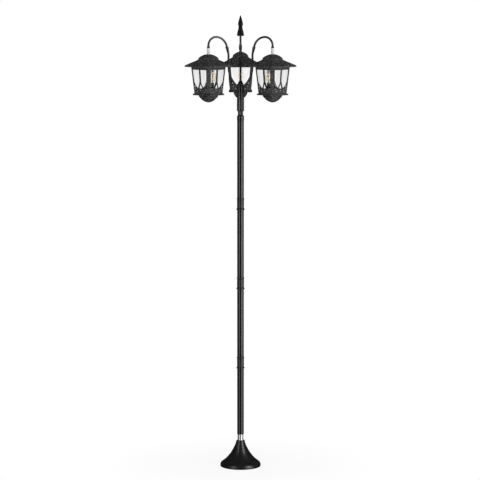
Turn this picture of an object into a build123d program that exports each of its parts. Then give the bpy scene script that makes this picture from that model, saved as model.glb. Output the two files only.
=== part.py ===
"""Triple head lamp post: a trumpet base, four tubes, a three-lobed hub, three arched arms
and three hanging four-sided lanterns that turn on their hangers.

Lengths are in millimetres, angles in degrees. +Z is up, -Y is the front, and the origin is
the middle of the base on the ground. Heights are stacked up from the ground, and the lanterns
are stacked down from the arches they hang on.
"""
from build123d import *
from math import cos, pi, radians, sin, sqrt
import os

# ---------------------------------------------------------------- driving dimensions
# base
BELL_R = 97.0
BELL_HEIGHT = 125.0
BELL_TOP_R = 19.5
BELL_WALL = 5.0
BELL_LIP = 17.5               # height of the rounded rim
RISER_R = 11.0
RISER_WALL = 3.0
PLATE_GAP = 6.0               # between the plate and the inside of the bell
PLATE_T = 8.0
ANCHOR_INSET = 24.0           # from the plate's edge to the middle of a hole
ANCHOR_HOLE_R = 5.5
ANCHOR_COUNT = 4
COUPLING_SHOW = 30.0          # bright length between the bell and the first tube

# post
TUBE_OD = 32.0
TUBE_WALL = 2.0
TUBE_1_LENGTH = 320.5
TUBE_2_LENGTH = 327.5
TUBE_3_LENGTH = 324.5
TUBE_4_LENGTH = 371.5
SPIGOT_LENGTH = 28.0          # how far a coupler reaches into a tube
COLLAR_HEIGHT = 56.0
COLLAR_BODY = 0.6             # how far a coupler stands out from the tube
COLLAR_LOWER_BEAD = 3.3
COLLAR_UPPER_BEAD = 1.8
NECK_BEAD = 0.8
NECK_HEIGHT = 23.5

# hub
HUB_NECK_HEIGHT = 20.5
HUB_HEIGHT = 119.0
LOBE_R = 8.6
LOBE_OFFSET = 9.2
NECK_LOBE_R = 7.0
NECK_LOBE_OFFSET = 6.6
CAP_R = 10.4
CAP_SPREAD = (-38.0, 62.0)    # angles where the cap's round side starts and ends

# finial
ROD_R = 4.4
ROD_SHOW = 233.0              # from the hub to the spear
ROD_SEAT = 24.0               # depth of the rod in the hub
BEAD_R = 7.2                  # knop on the rod
BEAD_SPREAD = 38.0            # angle of its round side, above and below its middle
BEAD_BELOW_SPEAR = 58.0
SPEAR_HEIGHT = 97.0
SPEAR_R = 17.0

# arms
ARM_COUNT = 3
ARM_FIRST_ANGLE = -30.0       # front right, then the rear one, then front left
ARM_OD = 9.0
ARM_WALL = 1.2
ARM_ROOT_R = 11.0             # where an arm's centreline leaves the hub
ARM_ROOT_DEPTH = 7.0          # and how far that is below the hub's top
ARM_ROOT_SLOPE = 33.0
ARM_RUN_R = 65.0              # radius of the upright part of the arm
JOINT_R = 74.0                # radius of the joint between lower and upper arm
JOINT_LEAN = 14.5             # how far the joint leans out from upright
JOINT_SLEEVE = 30.0
JOINT_SLEEVE_R = 7.0
JOINT_SLANT = 24.0            # slope of the cut across the top of the sleeve
ARCH_RISE = 230.8             # from the hub's top to the crown of the arch
ARCH_CROWN_R = 133.0          # distance of the crown from the post's axis
ARCH_OUTER_BEND = 40.0
FERRULE_DROP = 1.3            # from the end of the bend to the ferrule
FERRULE_HEIGHT = 9.5
FERRULE_R = 7.7

# lanterns
LANTERN_YAW = (43.0, 0.0, 47.0)     # turn of each lantern about its own axis
TURN_GAP = 0.3                      # between the lantern and its hanger
HANGER_SHOW = 29.0
STUD_R = 5.0
HANGER_R = 7.2
NUT_ACROSS = 16.0
NUT_T = 5.5
SHEET_T = 2.4
DOME_HEIGHT = 23.2
DOME_HALF = 37.0
DOME_CORNER = 1.22            # reach of a rounded corner, as a part of the half width
ROOF_HEIGHT = 33.2
EAVE_HALF = 79.3
EAVE_LIP = 4.2
CAGE_HEIGHT = 127.3
CAGE_TOP_HALF = 61.3
CAGE_BOTTOM_HALF = 50.4
CORNER_CUT = 9.9
PANEL_T = 3.0
POST_T = 6.0
STILE = 3.0
TOP_RAIL = 14.8
MULLION = 7.0
RIB = 4.3                     # between a tall light and the slit under it
SLIT = 4.2
LIGHT_BOW = (0.075, 0.045, 0.055)   # rise over length: outer side, inner side, arch light
GLASS_T = 2.0
FLOOR_T = 6.0
FLOOR_HALF = 55.0
FLOOR_CUT = 8.6
BOWL_DEPTH = 32.4
BOWL_HALF = 33.0
BOWL_CORNER = 1.12
BOWL_WALL = 2.2

# lamps
LAMP_OFFSET = 22.0                  # the lamp stands this far towards the post
HOLDER_R = 6.5
HOLDER_HEIGHT = 51.0
HOLDER_SEAT = 22.0
BULB_R = 4.9
BULB_WALL = 0.8
BULB_LENGTH = 61.4
FILAMENT_LENGTH = 34.0
FILAMENT_R = 1.3

# ---------------------------------------------------------------- derived sizes
TUBE_R = TUBE_OD / 2
TUBE_BORE_R = TUBE_R - TUBE_WALL
RISER_BORE_R = RISER_R - RISER_WALL
PLATE_R = BELL_R - BELL_WALL - PLATE_GAP
ANCHOR_R = PLATE_R - ANCHOR_INSET
TUBE_FOOT = BELL_HEIGHT + COUPLING_SHOW
TUBE_LENGTHS = (TUBE_1_LENGTH, TUBE_2_LENGTH, TUBE_3_LENGTH, TUBE_4_LENGTH)
NECK_BOTTOM = TUBE_FOOT + sum(TUBE_LENGTHS) + COLLAR_HEIGHT * (len(TUBE_LENGTHS) - 1)
HUB_FOOT = NECK_BOTTOM + NECK_HEIGHT
HUB_BOTTOM = HUB_FOOT + HUB_NECK_HEIGHT
HUB_TOP = HUB_BOTTOM + HUB_HEIGHT
ARM_R = ARM_OD / 2
ARM_BORE_R = ARM_R - ARM_WALL
ARM_ROOT_Z = HUB_TOP - ARM_ROOT_DEPTH
ARCH_TOP = HUB_TOP + ARCH_RISE
SPEAR_BOTTOM = HUB_TOP + ROD_SHOW
BEAD_CENTRE = SPEAR_BOTTOM - BEAD_BELOW_SPEAR
LANTERN_R = ARCH_CROWN_R + ARCH_OUTER_BEND
FERRULE_TOP = ARCH_TOP - ARCH_OUTER_BEND - FERRULE_DROP
FERRULE_FOOT = FERRULE_TOP - FERRULE_HEIGHT
HANGER_FOOT = FERRULE_FOOT - HANGER_SHOW
DOME_TOP = HANGER_FOOT - TURN_GAP
DOME_BASE = DOME_TOP - DOME_HEIGHT
EAVE_Z = DOME_BASE - ROOF_HEIGHT
FLOOR_TOP = EAVE_Z - CAGE_HEIGHT
FLOOR_BOTTOM = FLOOR_TOP - FLOOR_T
BORE_R = STUD_R + TURN_GAP
NUT_TOP = DOME_TOP - SHEET_T - TURN_GAP
STUD_FOOT = NUT_TOP - NUT_T * 1.5
HOLDER_TOP = FLOOR_TOP + HOLDER_HEIGHT
SHELL_R = BULB_R - BULB_WALL
EDGE = TUBE_WALL / 2          # rounding on turned edges
SLACK = TUBE_OD               # how far cutting tools run past the work

os.makedirs("parts", exist_ok=True)


def save(shape, node):
    export_step(shape, "parts/" + node + ".step")


# ---------------------------------------------------------------- helpers
def turned(points):
    """A solid of revolution about Z from (radius, height) corners."""
    with BuildPart() as part:
        with BuildSketch(Plane.XZ):
            with BuildLine():
                Polyline(*points, close=True)
            make_face()
        revolve(axis=Axis.Z)
    return part.part


def disc(radius, z0, z1):
    return Pos(0, 0, z0) * Cylinder(radius, z1 - z0, align=(Align.CENTER, Align.CENTER, Align.MIN))


def cut_square(half, cut):
    """A square of the given half width with its corners cut off."""
    flat = half - cut
    corners = [(half, -flat), (half, flat), (flat, half), (-flat, half)]
    corners = corners + [(-x, -y) for x, y in corners]
    return Polygon(*corners, align=None)


def four_sided(outline):
    """A four-sided body whose two upright sections both have this (half width, height) outline.

    The outline runs from the axis at one end to the axis at the other.
    """
    reach = max(x for x, z in outline) * 2
    mirror = [(-x, z) for x, z in reversed(outline) if x > 0]
    face = Polygon(*(outline + mirror), align=None)
    along_y = extrude(Plane.XZ * face, reach, both=True)
    return along_y & (Rot(0, 0, 90) * along_y)


def soft_sided(outline, foot_reach, top_reach):
    """A four-sided body with its corners rounded; a reach of the root of 2 leaves them sharp."""
    foot = min(z for x, z in outline)
    tall = max(z for x, z in outline) - foot
    reach = [foot_reach + (top_reach - foot_reach) * (z - foot) / tall for x, z in outline]
    return four_sided(outline) & turned([(x * k, z) for (x, z), k in zip(outline, reach)])


def fitted(shape, x0, x1, z0, z1):
    """A unit outline stretched between two half widths and two heights."""
    return [(x0 + (x1 - x0) * u, z0 + (z1 - z0) * v) for u, v in shape]


def polar(centre, radius, angle):
    """A point at an angle in radians round a centre."""
    return (centre[0] + radius * cos(angle), centre[1] + radius * sin(angle))


def arc_points(centre, radius, start, end, steps):
    """Points along an arc in an (r, z) plane; angles run from the +r direction."""
    return [polar(centre, radius, radians(start + (end - start) * i / steps)) for i in range(steps + 1)]


def bowed(start, end, bulge, steps):
    """Points of a shallow curve between two ends; bulge is its rise to the left, per length."""
    along_x, along_z = end[0] - start[0], end[1] - start[1]
    points = []
    for i in range(steps + 1):
        t = i / steps
        lift = 4 * bulge * t * (1 - t)
        points.append((start[0] + along_x * t - along_z * lift, start[1] + along_z * t + along_x * lift))
    return points


# ---------------------------------------------------------------- base
# the flare from the top of the bell (0, 1) to its rim (1, 0)
BELL_FLARE = [(0, 1), (0.07, 0.828), (0.188, 0.656), (0.347, 0.460), (0.542, 0.284),
              (0.736, 0.144), (0.910, 0.051), (1, 0)]


def bell():
    flare_r = BELL_R - BELL_WALL * 0.74
    outline = fitted(BELL_FLARE, BELL_TOP_R, flare_r, BELL_LIP, BELL_HEIGHT)
    inside = []
    for i, (r, z) in enumerate(outline):
        before = outline[max(i - 1, 0)]
        after = outline[min(i + 1, len(outline) - 1)]
        dr, dz = after[0] - before[0], after[1] - before[1]
        length = sqrt(dr * dr + dz * dz)
        inside.append((r + dz / length * BELL_WALL, z - dr / length * BELL_WALL))
    rim_in = BELL_R - BELL_WALL
    lip = BELL_WALL / 2
    throat_z = BELL_HEIGHT - BELL_WALL * 4.2
    with BuildPart() as part:
        with BuildSketch(Plane.XZ):
            with BuildLine():
                outer = Spline(*outline)
                rim = ThreePointArc(outer @ 1, (BELL_R - lip * 0.24, BELL_LIP * 0.72),
                                    (BELL_R, BELL_LIP * 0.46))
                edge = Line(rim @ 1, (BELL_R, lip))
                toe = ThreePointArc(edge @ 1, (BELL_R - lip * 0.3, lip * 0.3), (BELL_R - lip, 0))
                foot = Line(toe @ 1, (rim_in, 0))
                wall = Line(foot @ 1, (rim_in, BELL_LIP * 0.51))
                knee = ThreePointArc(wall @ 1, (rim_in - lip * 0.32, BELL_LIP * 0.64), inside[-1])
                inner = Spline(*reversed(inside[1:]))
                throat = Line(inner @ 1, (RISER_R + BELL_WALL * 0.8, throat_z - BELL_WALL * 0.8))
                step = Line(throat @ 1, (RISER_R, throat_z))
                bore = Line(step @ 1, (RISER_R, BELL_HEIGHT))
                Line(bore @ 1, outer @ 0)
            make_face()
        revolve(axis=Axis.Z)
    return part.part


def base_plate():
    """The anchor plate on the ground with the riser that the whole post stands on."""
    weld = RISER_R * 0.5
    chamf = PLATE_T * 0.19
    top = TUBE_FOOT + SPIGOT_LENGTH * 5 / 7
    body = turned([
        (RISER_BORE_R, 0), (PLATE_R - chamf, 0), (PLATE_R, chamf), (PLATE_R, PLATE_T - chamf),
        (PLATE_R - chamf, PLATE_T), (RISER_R + weld * 3, PLATE_T),
        (RISER_R + weld * 2, PLATE_T + weld), (RISER_R + weld, PLATE_T + weld * 2.5),
        (RISER_R, PLATE_T + weld * 3), (RISER_R, top), (RISER_BORE_R, top),
    ])
    for hole in PolarLocations(ANCHOR_R, ANCHOR_COUNT, start_angle=45):
        body -= hole * disc(ANCHOR_HOLE_R, -SLACK, PLATE_T + SLACK)
    return body


def base_coupling():
    """Bright sleeve between the bell and the first tube, reaching up into the tube."""
    top = TUBE_FOOT + SPIGOT_LENGTH
    mid = (BELL_HEIGHT + TUBE_FOOT) / 2
    groove = EDGE * 0.8
    return turned([
        (RISER_R, BELL_HEIGHT), (TUBE_BORE_R - groove, BELL_HEIGHT),
        (TUBE_BORE_R, BELL_HEIGHT + EDGE), (TUBE_BORE_R, mid - groove * 2),
        (TUBE_BORE_R - groove, mid - groove), (TUBE_BORE_R - groove, mid + groove),
        (TUBE_BORE_R, mid + groove * 2), (TUBE_BORE_R, top - EDGE), (TUBE_BORE_R - EDGE, top),
        (RISER_R, top),
    ])


# ---------------------------------------------------------------- post
def post_tube(z0, z1):
    return turned([
        (TUBE_BORE_R, z0), (TUBE_R - EDGE, z0), (TUBE_R, z0 + EDGE),
        (TUBE_R, z1 - EDGE), (TUBE_R - EDGE, z1), (TUBE_BORE_R, z1),
    ])


def bead(radius, z0, z1):
    """Outer corners of a rounded bead."""
    return [(radius - EDGE, z0), (radius, z0 + EDGE), (radius, z1 - EDGE), (radius - EDGE, z1)]


def post_collar(bottom):
    """A turned coupler: two beads outside and a spigot up and down inside the tubes."""
    top = bottom + COLLAR_HEIGHT
    bore = TUBE_BORE_R - TUBE_WALL * 1.5
    body_r = TUBE_R + COLLAR_BODY
    low, high = COLLAR_HEIGHT * 0.143, COLLAR_HEIGHT * 0.107
    outline = [(bore, bottom - SPIGOT_LENGTH), (TUBE_BORE_R - EDGE, bottom - SPIGOT_LENGTH),
               (TUBE_BORE_R, bottom - SPIGOT_LENGTH + EDGE), (TUBE_BORE_R, bottom)]
    outline += bead(TUBE_R + COLLAR_LOWER_BEAD, bottom, bottom + low)
    outline += [(body_r, bottom + low + EDGE * 2), (body_r, top - high - EDGE * 2)]
    outline += bead(TUBE_R + COLLAR_UPPER_BEAD, top - high, top)
    outline += [(TUBE_BORE_R, top), (TUBE_BORE_R, top + SPIGOT_LENGTH - EDGE),
                (TUBE_BORE_R - EDGE, top + SPIGOT_LENGTH), (bore, top + SPIGOT_LENGTH)]
    return turned(outline)


def neck_collar():
    """Bead that closes the top tube and seats the hub on a short pin."""
    rim = TUBE_R + NECK_BEAD
    pin = ROD_R - EDGE * 0.4
    foot = NECK_BOTTOM - SPIGOT_LENGTH
    top = HUB_FOOT + HUB_NECK_HEIGHT * 0.6
    return turned([
        (0, foot), (TUBE_BORE_R - EDGE, foot), (TUBE_BORE_R, foot + EDGE),
        (TUBE_BORE_R, NECK_BOTTOM), (rim - EDGE, NECK_BOTTOM), (rim, NECK_BOTTOM + EDGE * 2),
        (rim, NECK_BOTTOM + NECK_HEIGHT * 0.7), (rim - EDGE, NECK_BOTTOM + NECK_HEIGHT * 0.83),
        (rim - EDGE * 3.5, NECK_BOTTOM + NECK_HEIGHT * 0.96), (rim - EDGE * 5, HUB_FOOT),
        (pin, HUB_FOOT), (pin, top), (0, top),
    ])


# ---------------------------------------------------------------- arms
def arm_angles():
    return [ARM_FIRST_ANGLE + 360.0 / ARM_COUNT * i for i in range(ARM_COUNT)]


def arm_paths():
    """Centrelines of the lower and the upper arm in the plane y = 0, and the joint between."""
    slope = radians(ARM_ROOT_SLOPE)
    lean = radians(JOINT_LEAN)
    # the sweep up from the hub
    sweep_r = (ARM_RUN_R - ARM_ROOT_R) / (1 - sin(slope))
    sweep_c = (ARM_RUN_R - sweep_r, ARM_ROOT_Z + sweep_r * cos(slope))
    sweep_mid = (slope + pi / 2) / 2
    # the inner side of the arch ends at the joint with the joint's lean
    inner_bend = (ARCH_CROWN_R - JOINT_R) / cos(lean)
    inner_c = (ARCH_CROWN_R, ARCH_TOP - inner_bend)
    joint = (JOINT_R, inner_c[1] + inner_bend * sin(lean))
    # below it the sleeve is straight, then a short bend brings the arm upright
    sleeve_foot = (joint[0] - JOINT_SLEEVE * sin(lean), joint[1] - JOINT_SLEEVE * cos(lean))
    lean_bend = (sleeve_foot[0] - ARM_RUN_R) / (1 - cos(lean))
    run_top = sleeve_foot[1] - lean_bend * sin(lean)
    with BuildLine(Plane.XZ) as lower:
        root = Line((ARM_ROOT_R - ARM_R * 0.8 * cos(slope), ARM_ROOT_Z - ARM_R * 0.8 * sin(slope)),
                    (ARM_ROOT_R, ARM_ROOT_Z))
        bend = ThreePointArc(root @ 1, polar(sweep_c, sweep_r, sweep_mid - pi / 2),
                             (ARM_RUN_R, sweep_c[1]))
        run = Line(bend @ 1, (ARM_RUN_R, run_top))
        ease = ThreePointArc(run @ 1, polar((ARM_RUN_R + lean_bend, run_top), lean_bend, pi - lean / 2),
                             sleeve_foot)
        Line(ease @ 1, joint)
    outer_c = (ARCH_CROWN_R, ARCH_TOP - ARCH_OUTER_BEND)
    with BuildLine(Plane.XZ) as upper:
        first = ThreePointArc(joint, polar(inner_c, inner_bend, (3 * pi / 2 - lean) / 2),
                              (ARCH_CROWN_R, ARCH_TOP))
        second = ThreePointArc(first @ 1, polar(outer_c, ARCH_OUTER_BEND, pi / 4),
                               (LANTERN_R, outer_c[1]))
        Line(second @ 1, (LANTERN_R, FERRULE_FOOT + FERRULE_HEIGHT * 0.2))
    return lower.line, upper.line, joint


LOWER_PATH, UPPER_PATH, JOINT = arm_paths()


def along(path, radius):
    section = Plane(path @ 0, z_dir=path % 0) * Circle(radius)
    return sweep(section, path=path)


def lower_arm():
    """Upright tube of an arm with the flared sleeve that takes the arch."""
    tip = Pos(JOINT[0], 0, JOINT[1]) * Rot(0, JOINT_LEAN, 0)
    flare = tip * Pos(0, 0, -JOINT_SLEEVE) * turned([
        (0, 0), (ARM_R * 1.05, 0), (JOINT_SLEEVE_R, JOINT_SLEEVE * 0.9),
        (JOINT_SLEEVE_R, JOINT_SLEEVE), (0, JOINT_SLEEVE),
    ])
    # the top of the sleeve is cut on a slant
    slant = tip * Rot(0, -JOINT_SLANT, 0) * disc(SLACK, -EDGE * 0.6, SLACK)
    body = along(LOWER_PATH, ARM_R) + flare - slant
    return body - along(LOWER_PATH, ARM_BORE_R) - along(UPPER_PATH, ARM_R)


def upper_arm():
    """The arch, let into the sleeve of the lower arm and into the ferrule."""
    return along(UPPER_PATH, ARM_R) - along(UPPER_PATH, ARM_BORE_R)


def ferrule():
    """Flared end of the arm; the hanger is screwed up into it."""
    low, tall = FERRULE_FOOT, FERRULE_HEIGHT
    body = turned([
        (0, low), (FERRULE_R - tall * 0.04, low), (FERRULE_R, low + tall * 0.08),
        (FERRULE_R, low + tall * 0.23), (FERRULE_R - tall * 0.15, low + tall * 0.36),
        (ARM_R + tall * 0.13, low + tall * 0.74), (ARM_R + tall * 0.09, low + tall),
        (0, low + tall),
    ])
    return body - disc(ARM_R, low + tall * 0.2, low + tall + SLACK) - disc(ARM_BORE_R, low - SLACK, low + tall)


def hanger():
    """Bright hanger: a spigot up into the arm, a sleeve, and the stud the lantern turns on."""
    waist = HANGER_R * 0.92
    step = HANGER_FOOT + HANGER_SHOW * 0.42
    top = FERRULE_FOOT + FERRULE_HEIGHT * 0.84
    return turned([
        (0, STUD_FOOT), (STUD_R * 0.84, STUD_FOOT), (STUD_R, STUD_FOOT + STUD_R * 0.16),
        (STUD_R, HANGER_FOOT), (waist * 0.94, HANGER_FOOT), (waist, HANGER_FOOT + HANGER_SHOW * 0.02),
        (waist, step), (HANGER_R, step + HANGER_SHOW * 0.035),
        (HANGER_R, FERRULE_FOOT - HANGER_SHOW * 0.02), (waist, FERRULE_FOOT),
        (ARM_BORE_R, FERRULE_FOOT), (ARM_BORE_R, top), (0, top),
    ])


def hanger_nut():
    hexagon = RegularPolygon(NUT_ACROSS / 2, 6, major_radius=False)
    body = Pos(0, 0, NUT_TOP - NUT_T) * extrude(hexagon, NUT_T)
    return body - disc(STUD_R, NUT_TOP - NUT_T - SLACK, NUT_TOP + SLACK)


# ---------------------------------------------------------------- hub and finial
def lobes(offset, radius, z0, z1):
    body = None
    for angle in arm_angles():
        lobe = Rot(0, 0, angle) * Pos(offset, 0, 0) * disc(radius, z0, z1)
        body = lobe if body is None else body + lobe
    return body


def arm_hub():
    """Three sockets cast side by side over a narrower neck; each takes an arm."""
    body = lobes(NECK_LOBE_OFFSET, NECK_LOBE_R, HUB_FOOT, HUB_BOTTOM)
    body += lobes(LOBE_OFFSET, LOBE_R * 0.86, HUB_BOTTOM - EDGE * 1.5, HUB_BOTTOM + EDGE)
    body += lobes(LOBE_OFFSET, LOBE_R, HUB_BOTTOM + EDGE * 0.5, HUB_TOP - EDGE)
    body += lobes(LOBE_OFFSET, LOBE_R * 0.88, HUB_TOP - EDGE * 2, HUB_TOP)
    body -= disc(ROD_R - EDGE * 0.4, HUB_FOOT - SLACK, HUB_FOOT + HUB_NECK_HEIGHT * 0.6)
    body -= disc(ROD_R, HUB_TOP - ROD_SEAT, HUB_TOP + SLACK)
    for angle in arm_angles():
        body -= Rot(0, 0, angle) * along(LOWER_PATH, ARM_R)
    return body


def hub_cap():
    """Domed nut on the finial rod that holds the hub down."""
    centre = (0, HUB_TOP + CAP_R * 0.77)
    points = [(ROD_R, HUB_TOP), (CAP_R * 0.77, HUB_TOP)]
    points += arc_points(centre, CAP_R, *CAP_SPREAD, 8)
    points += [(ROD_R, centre[1] + CAP_R * 0.97)]
    return turned(points)


def finial_rod():
    """Rod from the hub into the spear, turned with a small round knop."""
    foot = HUB_TOP - ROD_SEAT
    neck = BEAD_R * 0.72
    top = SPEAR_BOTTOM + SPEAR_HEIGHT * 0.22
    points = [(0, foot), (ROD_R, foot), (ROD_R, BEAD_CENTRE - BEAD_R),
              (neck, BEAD_CENTRE - BEAD_R * 0.8)]
    points += arc_points((0, BEAD_CENTRE), BEAD_R, -BEAD_SPREAD, BEAD_SPREAD, 6)
    points += [(neck, BEAD_CENTRE + BEAD_R * 0.8), (ROD_R, BEAD_CENTRE + BEAD_R),
               (ROD_R, top), (0, top)]
    return turned(points)


# rise and half width of each section of the spear, as parts of its height and of its radius
SPEAR_SHAPE = [
    (0.0, 0.84), (0.041, 1.0), (0.093, 0.926), (0.165, 0.895), (0.227, 0.802), (0.299, 0.667),
    (0.371, 0.580), (0.454, 0.537), (0.495, 0.568), (0.536, 0.691), (0.598, 0.679), (0.680, 0.593),
    (0.784, 0.444), (0.876, 0.284), (0.948, 0.160), (1.0, 0.037),
]


def finial_spear():
    """Eight-sided spear point over a flared, cupped skirt."""
    sections = []
    for rise, width in SPEAR_SHAPE:
        section = RegularPolygon(SPEAR_R * width, 8, major_radius=False, rotation=22.5)
        sections.append(Pos(0, 0, SPEAR_BOTTOM + SPEAR_HEIGHT * rise) * section)
    body = loft(sections, ruled=True)
    cup_r = SPEAR_R * 0.72
    rise = SPEAR_HEIGHT / 100
    cup = turned([(0, SPEAR_BOTTOM - SLACK), (cup_r, SPEAR_BOTTOM - SLACK), (cup_r, SPEAR_BOTTOM + 2 * rise),
                  (cup_r * 0.75, SPEAR_BOTTOM + 9 * rise), (ROD_R, SPEAR_BOTTOM + 13 * rise),
                  (0, SPEAR_BOTTOM + 13 * rise)])
    return body - cup - disc(ROD_R, SPEAR_BOTTOM - SLACK, SPEAR_BOTTOM + SPEAR_HEIGHT * 0.22)


# ---------------------------------------------------------------- lanterns
# unit outlines: the dome from its crown (0, 1) to its foot (1, 0), the skirt of the roof from the
# dome (0, 1) to the eave (1, 0), and the bowl from its rim (1, 1) to its lowest point (0, 0)
DOME_SHAPE = [(0.306, 1), (0.417, 0.944), (0.583, 0.823), (0.75, 0.659), (0.875, 0.478),
              (0.956, 0.289), (0.992, 0.134), (1, 0)]
SKIRT_SHAPE = [(0, 1), (0.033, 0.913), (0.113, 0.813), (0.236, 0.696), (0.473, 0.483),
               (0.757, 0.227), (0.924, 0.087), (0.99, 0)]
BOWL_SHAPE = [(1, 1), (1, 0.932), (0.94, 0.83), (0.885, 0.70), (0.82, 0.56), (0.73, 0.42),
              (0.61, 0.29), (0.46, 0.16), (0.30, 0.06), (0.15, 0.01), (0.06, 0)]
SHARP = 1.42                  # reach of a corner that stays sharp


def dome_cap():
    """Four-sided dome over the roof; the lantern hangs and turns by its bored crown."""
    outer = fitted(DOME_SHAPE, 0, DOME_HALF, DOME_BASE, DOME_TOP)
    inner = fitted(DOME_SHAPE, 0, DOME_HALF - SHEET_T, DOME_BASE, DOME_TOP - SHEET_T)
    shell = soft_sided([(0, DOME_TOP)] + outer + [(0, DOME_BASE)], DOME_CORNER, DOME_CORNER)
    hollow = [(0, DOME_TOP - SHEET_T)] + inner
    hollow += [(DOME_HALF - SHEET_T, DOME_BASE - SHEET_T), (0, DOME_BASE - SHEET_T)]
    shell -= soft_sided(hollow, DOME_CORNER, DOME_CORNER)
    boss = disc(BORE_R * 2, NUT_TOP + TURN_GAP, DOME_TOP)
    return shell + boss - disc(BORE_R, NUT_TOP - SLACK, DOME_TOP + SLACK)


def roof():
    """Flared skirt with a thin eave, a soffit that sits on the cage, and a top opening."""
    lip_z = EAVE_Z + EAVE_LIP
    outer = fitted(SKIRT_SHAPE, DOME_HALF, EAVE_HALF, lip_z, DOME_BASE)
    edge = [(EAVE_HALF, lip_z - EAVE_LIP * 0.25), (EAVE_HALF, EAVE_Z)]
    shell = soft_sided([(0, DOME_BASE)] + outer + edge + [(0, EAVE_Z)], SHARP, DOME_CORNER)
    inner_half = EAVE_HALF - SHEET_T * 3
    inner = fitted(SKIRT_SHAPE, DOME_HALF - SHEET_T, inner_half, EAVE_Z + SHEET_T, DOME_BASE - SHEET_T)
    hollow = [(0, DOME_BASE - SHEET_T)] + inner + [(0, EAVE_Z + SHEET_T)]
    shell -= soft_sided(hollow, SHARP, DOME_CORNER)
    opening = DOME_HALF * 1.4
    soffit = 2 * (CAGE_TOP_HALF - PANEL_T - POST_T)
    shell -= Pos(0, 0, DOME_BASE) * Box(opening, opening, SHEET_T * 3)
    return shell - Pos(0, 0, EAVE_Z) * Box(soffit, soffit, SHEET_T * 3)


def cage_half(height):
    """Half width of the cage at a part of its height."""
    return CAGE_BOTTOM_HALF + (CAGE_TOP_HALF - CAGE_BOTTOM_HALF) * height


def cage_z(height):
    return FLOOR_TOP + CAGE_HEIGHT * height


def stile(height):
    """Inner edge of the corner post on a face, at a part of the cage's height."""
    return cage_half(height) - CORNER_CUT - STILE


def face_points(points):
    """Points given as parts of the light's half width at that height and of the cage's height."""
    return [(u * stile(v), cage_z(v)) for u, v in points]


def light_foot():
    """Corners of the pointed lower end of a tall light: on the post, at the tip, on the mullion."""
    on_post, tip = face_points([(1, 0.511), (0.455, 0.19)])
    return on_post, tip, (MULLION / 2, cage_z(0.45))


def window(side):
    """Outline of one tall light with its pointed lower end, as seen on a face."""
    head = 1 - TOP_RAIL / CAGE_HEIGHT
    on_post, tip, on_mullion = light_foot()
    points = [(MULLION / 2, cage_z(head)), (stile(head), cage_z(head))]
    points += bowed(on_post, tip, LIGHT_BOW[0], 8)
    points += bowed(tip, on_mullion, LIGHT_BOW[1], 8)[1:]
    return [(side * x, z) for x, z in points]


def slit_light(side):
    """Outline of the narrow light that follows the outer curve of a tall light, a rib below it."""
    on_post, tip, _ = light_foot()
    rib = bowed(on_post, tip, LIGHT_BOW[0], 20)
    upper, lower = [], []
    for (x0, z0), (x1, z1) in zip(rib[4:18], rib[5:19]):
        length = sqrt((x1 - x0) ** 2 + (z1 - z0) ** 2)
        out_x, out_z = (z0 - z1) / length, (x1 - x0) / length
        upper.append((x0 + out_x * RIB, z0 + out_z * RIB))
        lower.append((x0 + out_x * (RIB + SLIT), z0 + out_z * (RIB + SLIT)))
    points = []
    for x, z in upper + lower[::-1]:
        points.append((side * min(x, stile((z - FLOOR_TOP) / CAGE_HEIGHT)), z))
    return points


def arch_light():
    """Outline of the small pointed light under the fork of the mullion."""
    apex, foot = face_points([(0, 0.37), (0.25, 0.175)])
    right = bowed(apex, foot, LIGHT_BOW[2], 6)
    return right + [(-x, z) for x, z in reversed(right) if x > 0]


def through(outline):
    """The outline pushed right through both opposite walls."""
    return extrude(Plane.XZ * Polygon(*outline, align=None), 2 * CAGE_TOP_HALF, both=True)


def tapered(bottom, top, cut):
    """A leaning four-sided body with cut corners, as tall as the cage."""
    return loft([Pos(0, 0, FLOOR_TOP) * cut_square(bottom, cut),
                 Pos(0, 0, EAVE_Z) * cut_square(top, cut)], ruled=True)


def cage():
    """Cast frame of the body: cut corners, mullions and pointed tracery over a solid band."""
    inner_cut = CORNER_CUT + sqrt(2) * POST_T - 2 * PANEL_T
    body = tapered(CAGE_BOTTOM_HALF, CAGE_TOP_HALF, CORNER_CUT)
    body -= tapered(CAGE_BOTTOM_HALF - PANEL_T, CAGE_TOP_HALF - PANEL_T, inner_cut)
    for outline in (window(1), window(-1), arch_light(), slit_light(1), slit_light(-1)):
        tool = through(outline)
        body -= tool
        body -= Rot(0, 0, 90) * tool
    return body


def glass():
    """Four flat panes that lean with the cage and stand on the floor."""
    head = 1 - SHEET_T / CAGE_HEIGHT
    panes = []
    for k in range(4):
        ends = []
        for height in (0, head):
            wall = cage_half(height) - PANEL_T
            wide = 2 * (stile(height) - PANEL_T * 1.4)
            ends.append(Pos(0, wall - GLASS_T / 2, cage_z(height)) * Rectangle(wide, GLASS_T))
        panes.append(Rot(0, 0, 90 * k) * loft(ends, ruled=True))
    return Compound(children=panes)


def floor_plate():
    body = Pos(0, 0, FLOOR_BOTTOM) * extrude(cut_square(FLOOR_HALF, FLOOR_CUT), FLOOR_T)
    return chamfer(body.edges().filter_by(Axis.Z, reverse=True), FLOOR_T * 0.13)


def bowl():
    """Four-sided hollow drop under the floor."""
    foot = FLOOR_BOTTOM - BOWL_DEPTH
    outer = fitted(BOWL_SHAPE, 0, BOWL_HALF, foot, FLOOR_BOTTOM)
    inner = fitted(BOWL_SHAPE, 0, BOWL_HALF - BOWL_WALL, foot + BOWL_WALL, FLOOR_BOTTOM)
    shell = soft_sided([(0, FLOOR_BOTTOM)] + outer + [(0, foot)], BOWL_CORNER, SHARP)
    rim = [(0, FLOOR_BOTTOM + BOWL_WALL), (BOWL_HALF - BOWL_WALL, FLOOR_BOTTOM + BOWL_WALL)]
    return shell - soft_sided(rim + inner + [(0, foot + BOWL_WALL)], BOWL_CORNER, SHARP)


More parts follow.
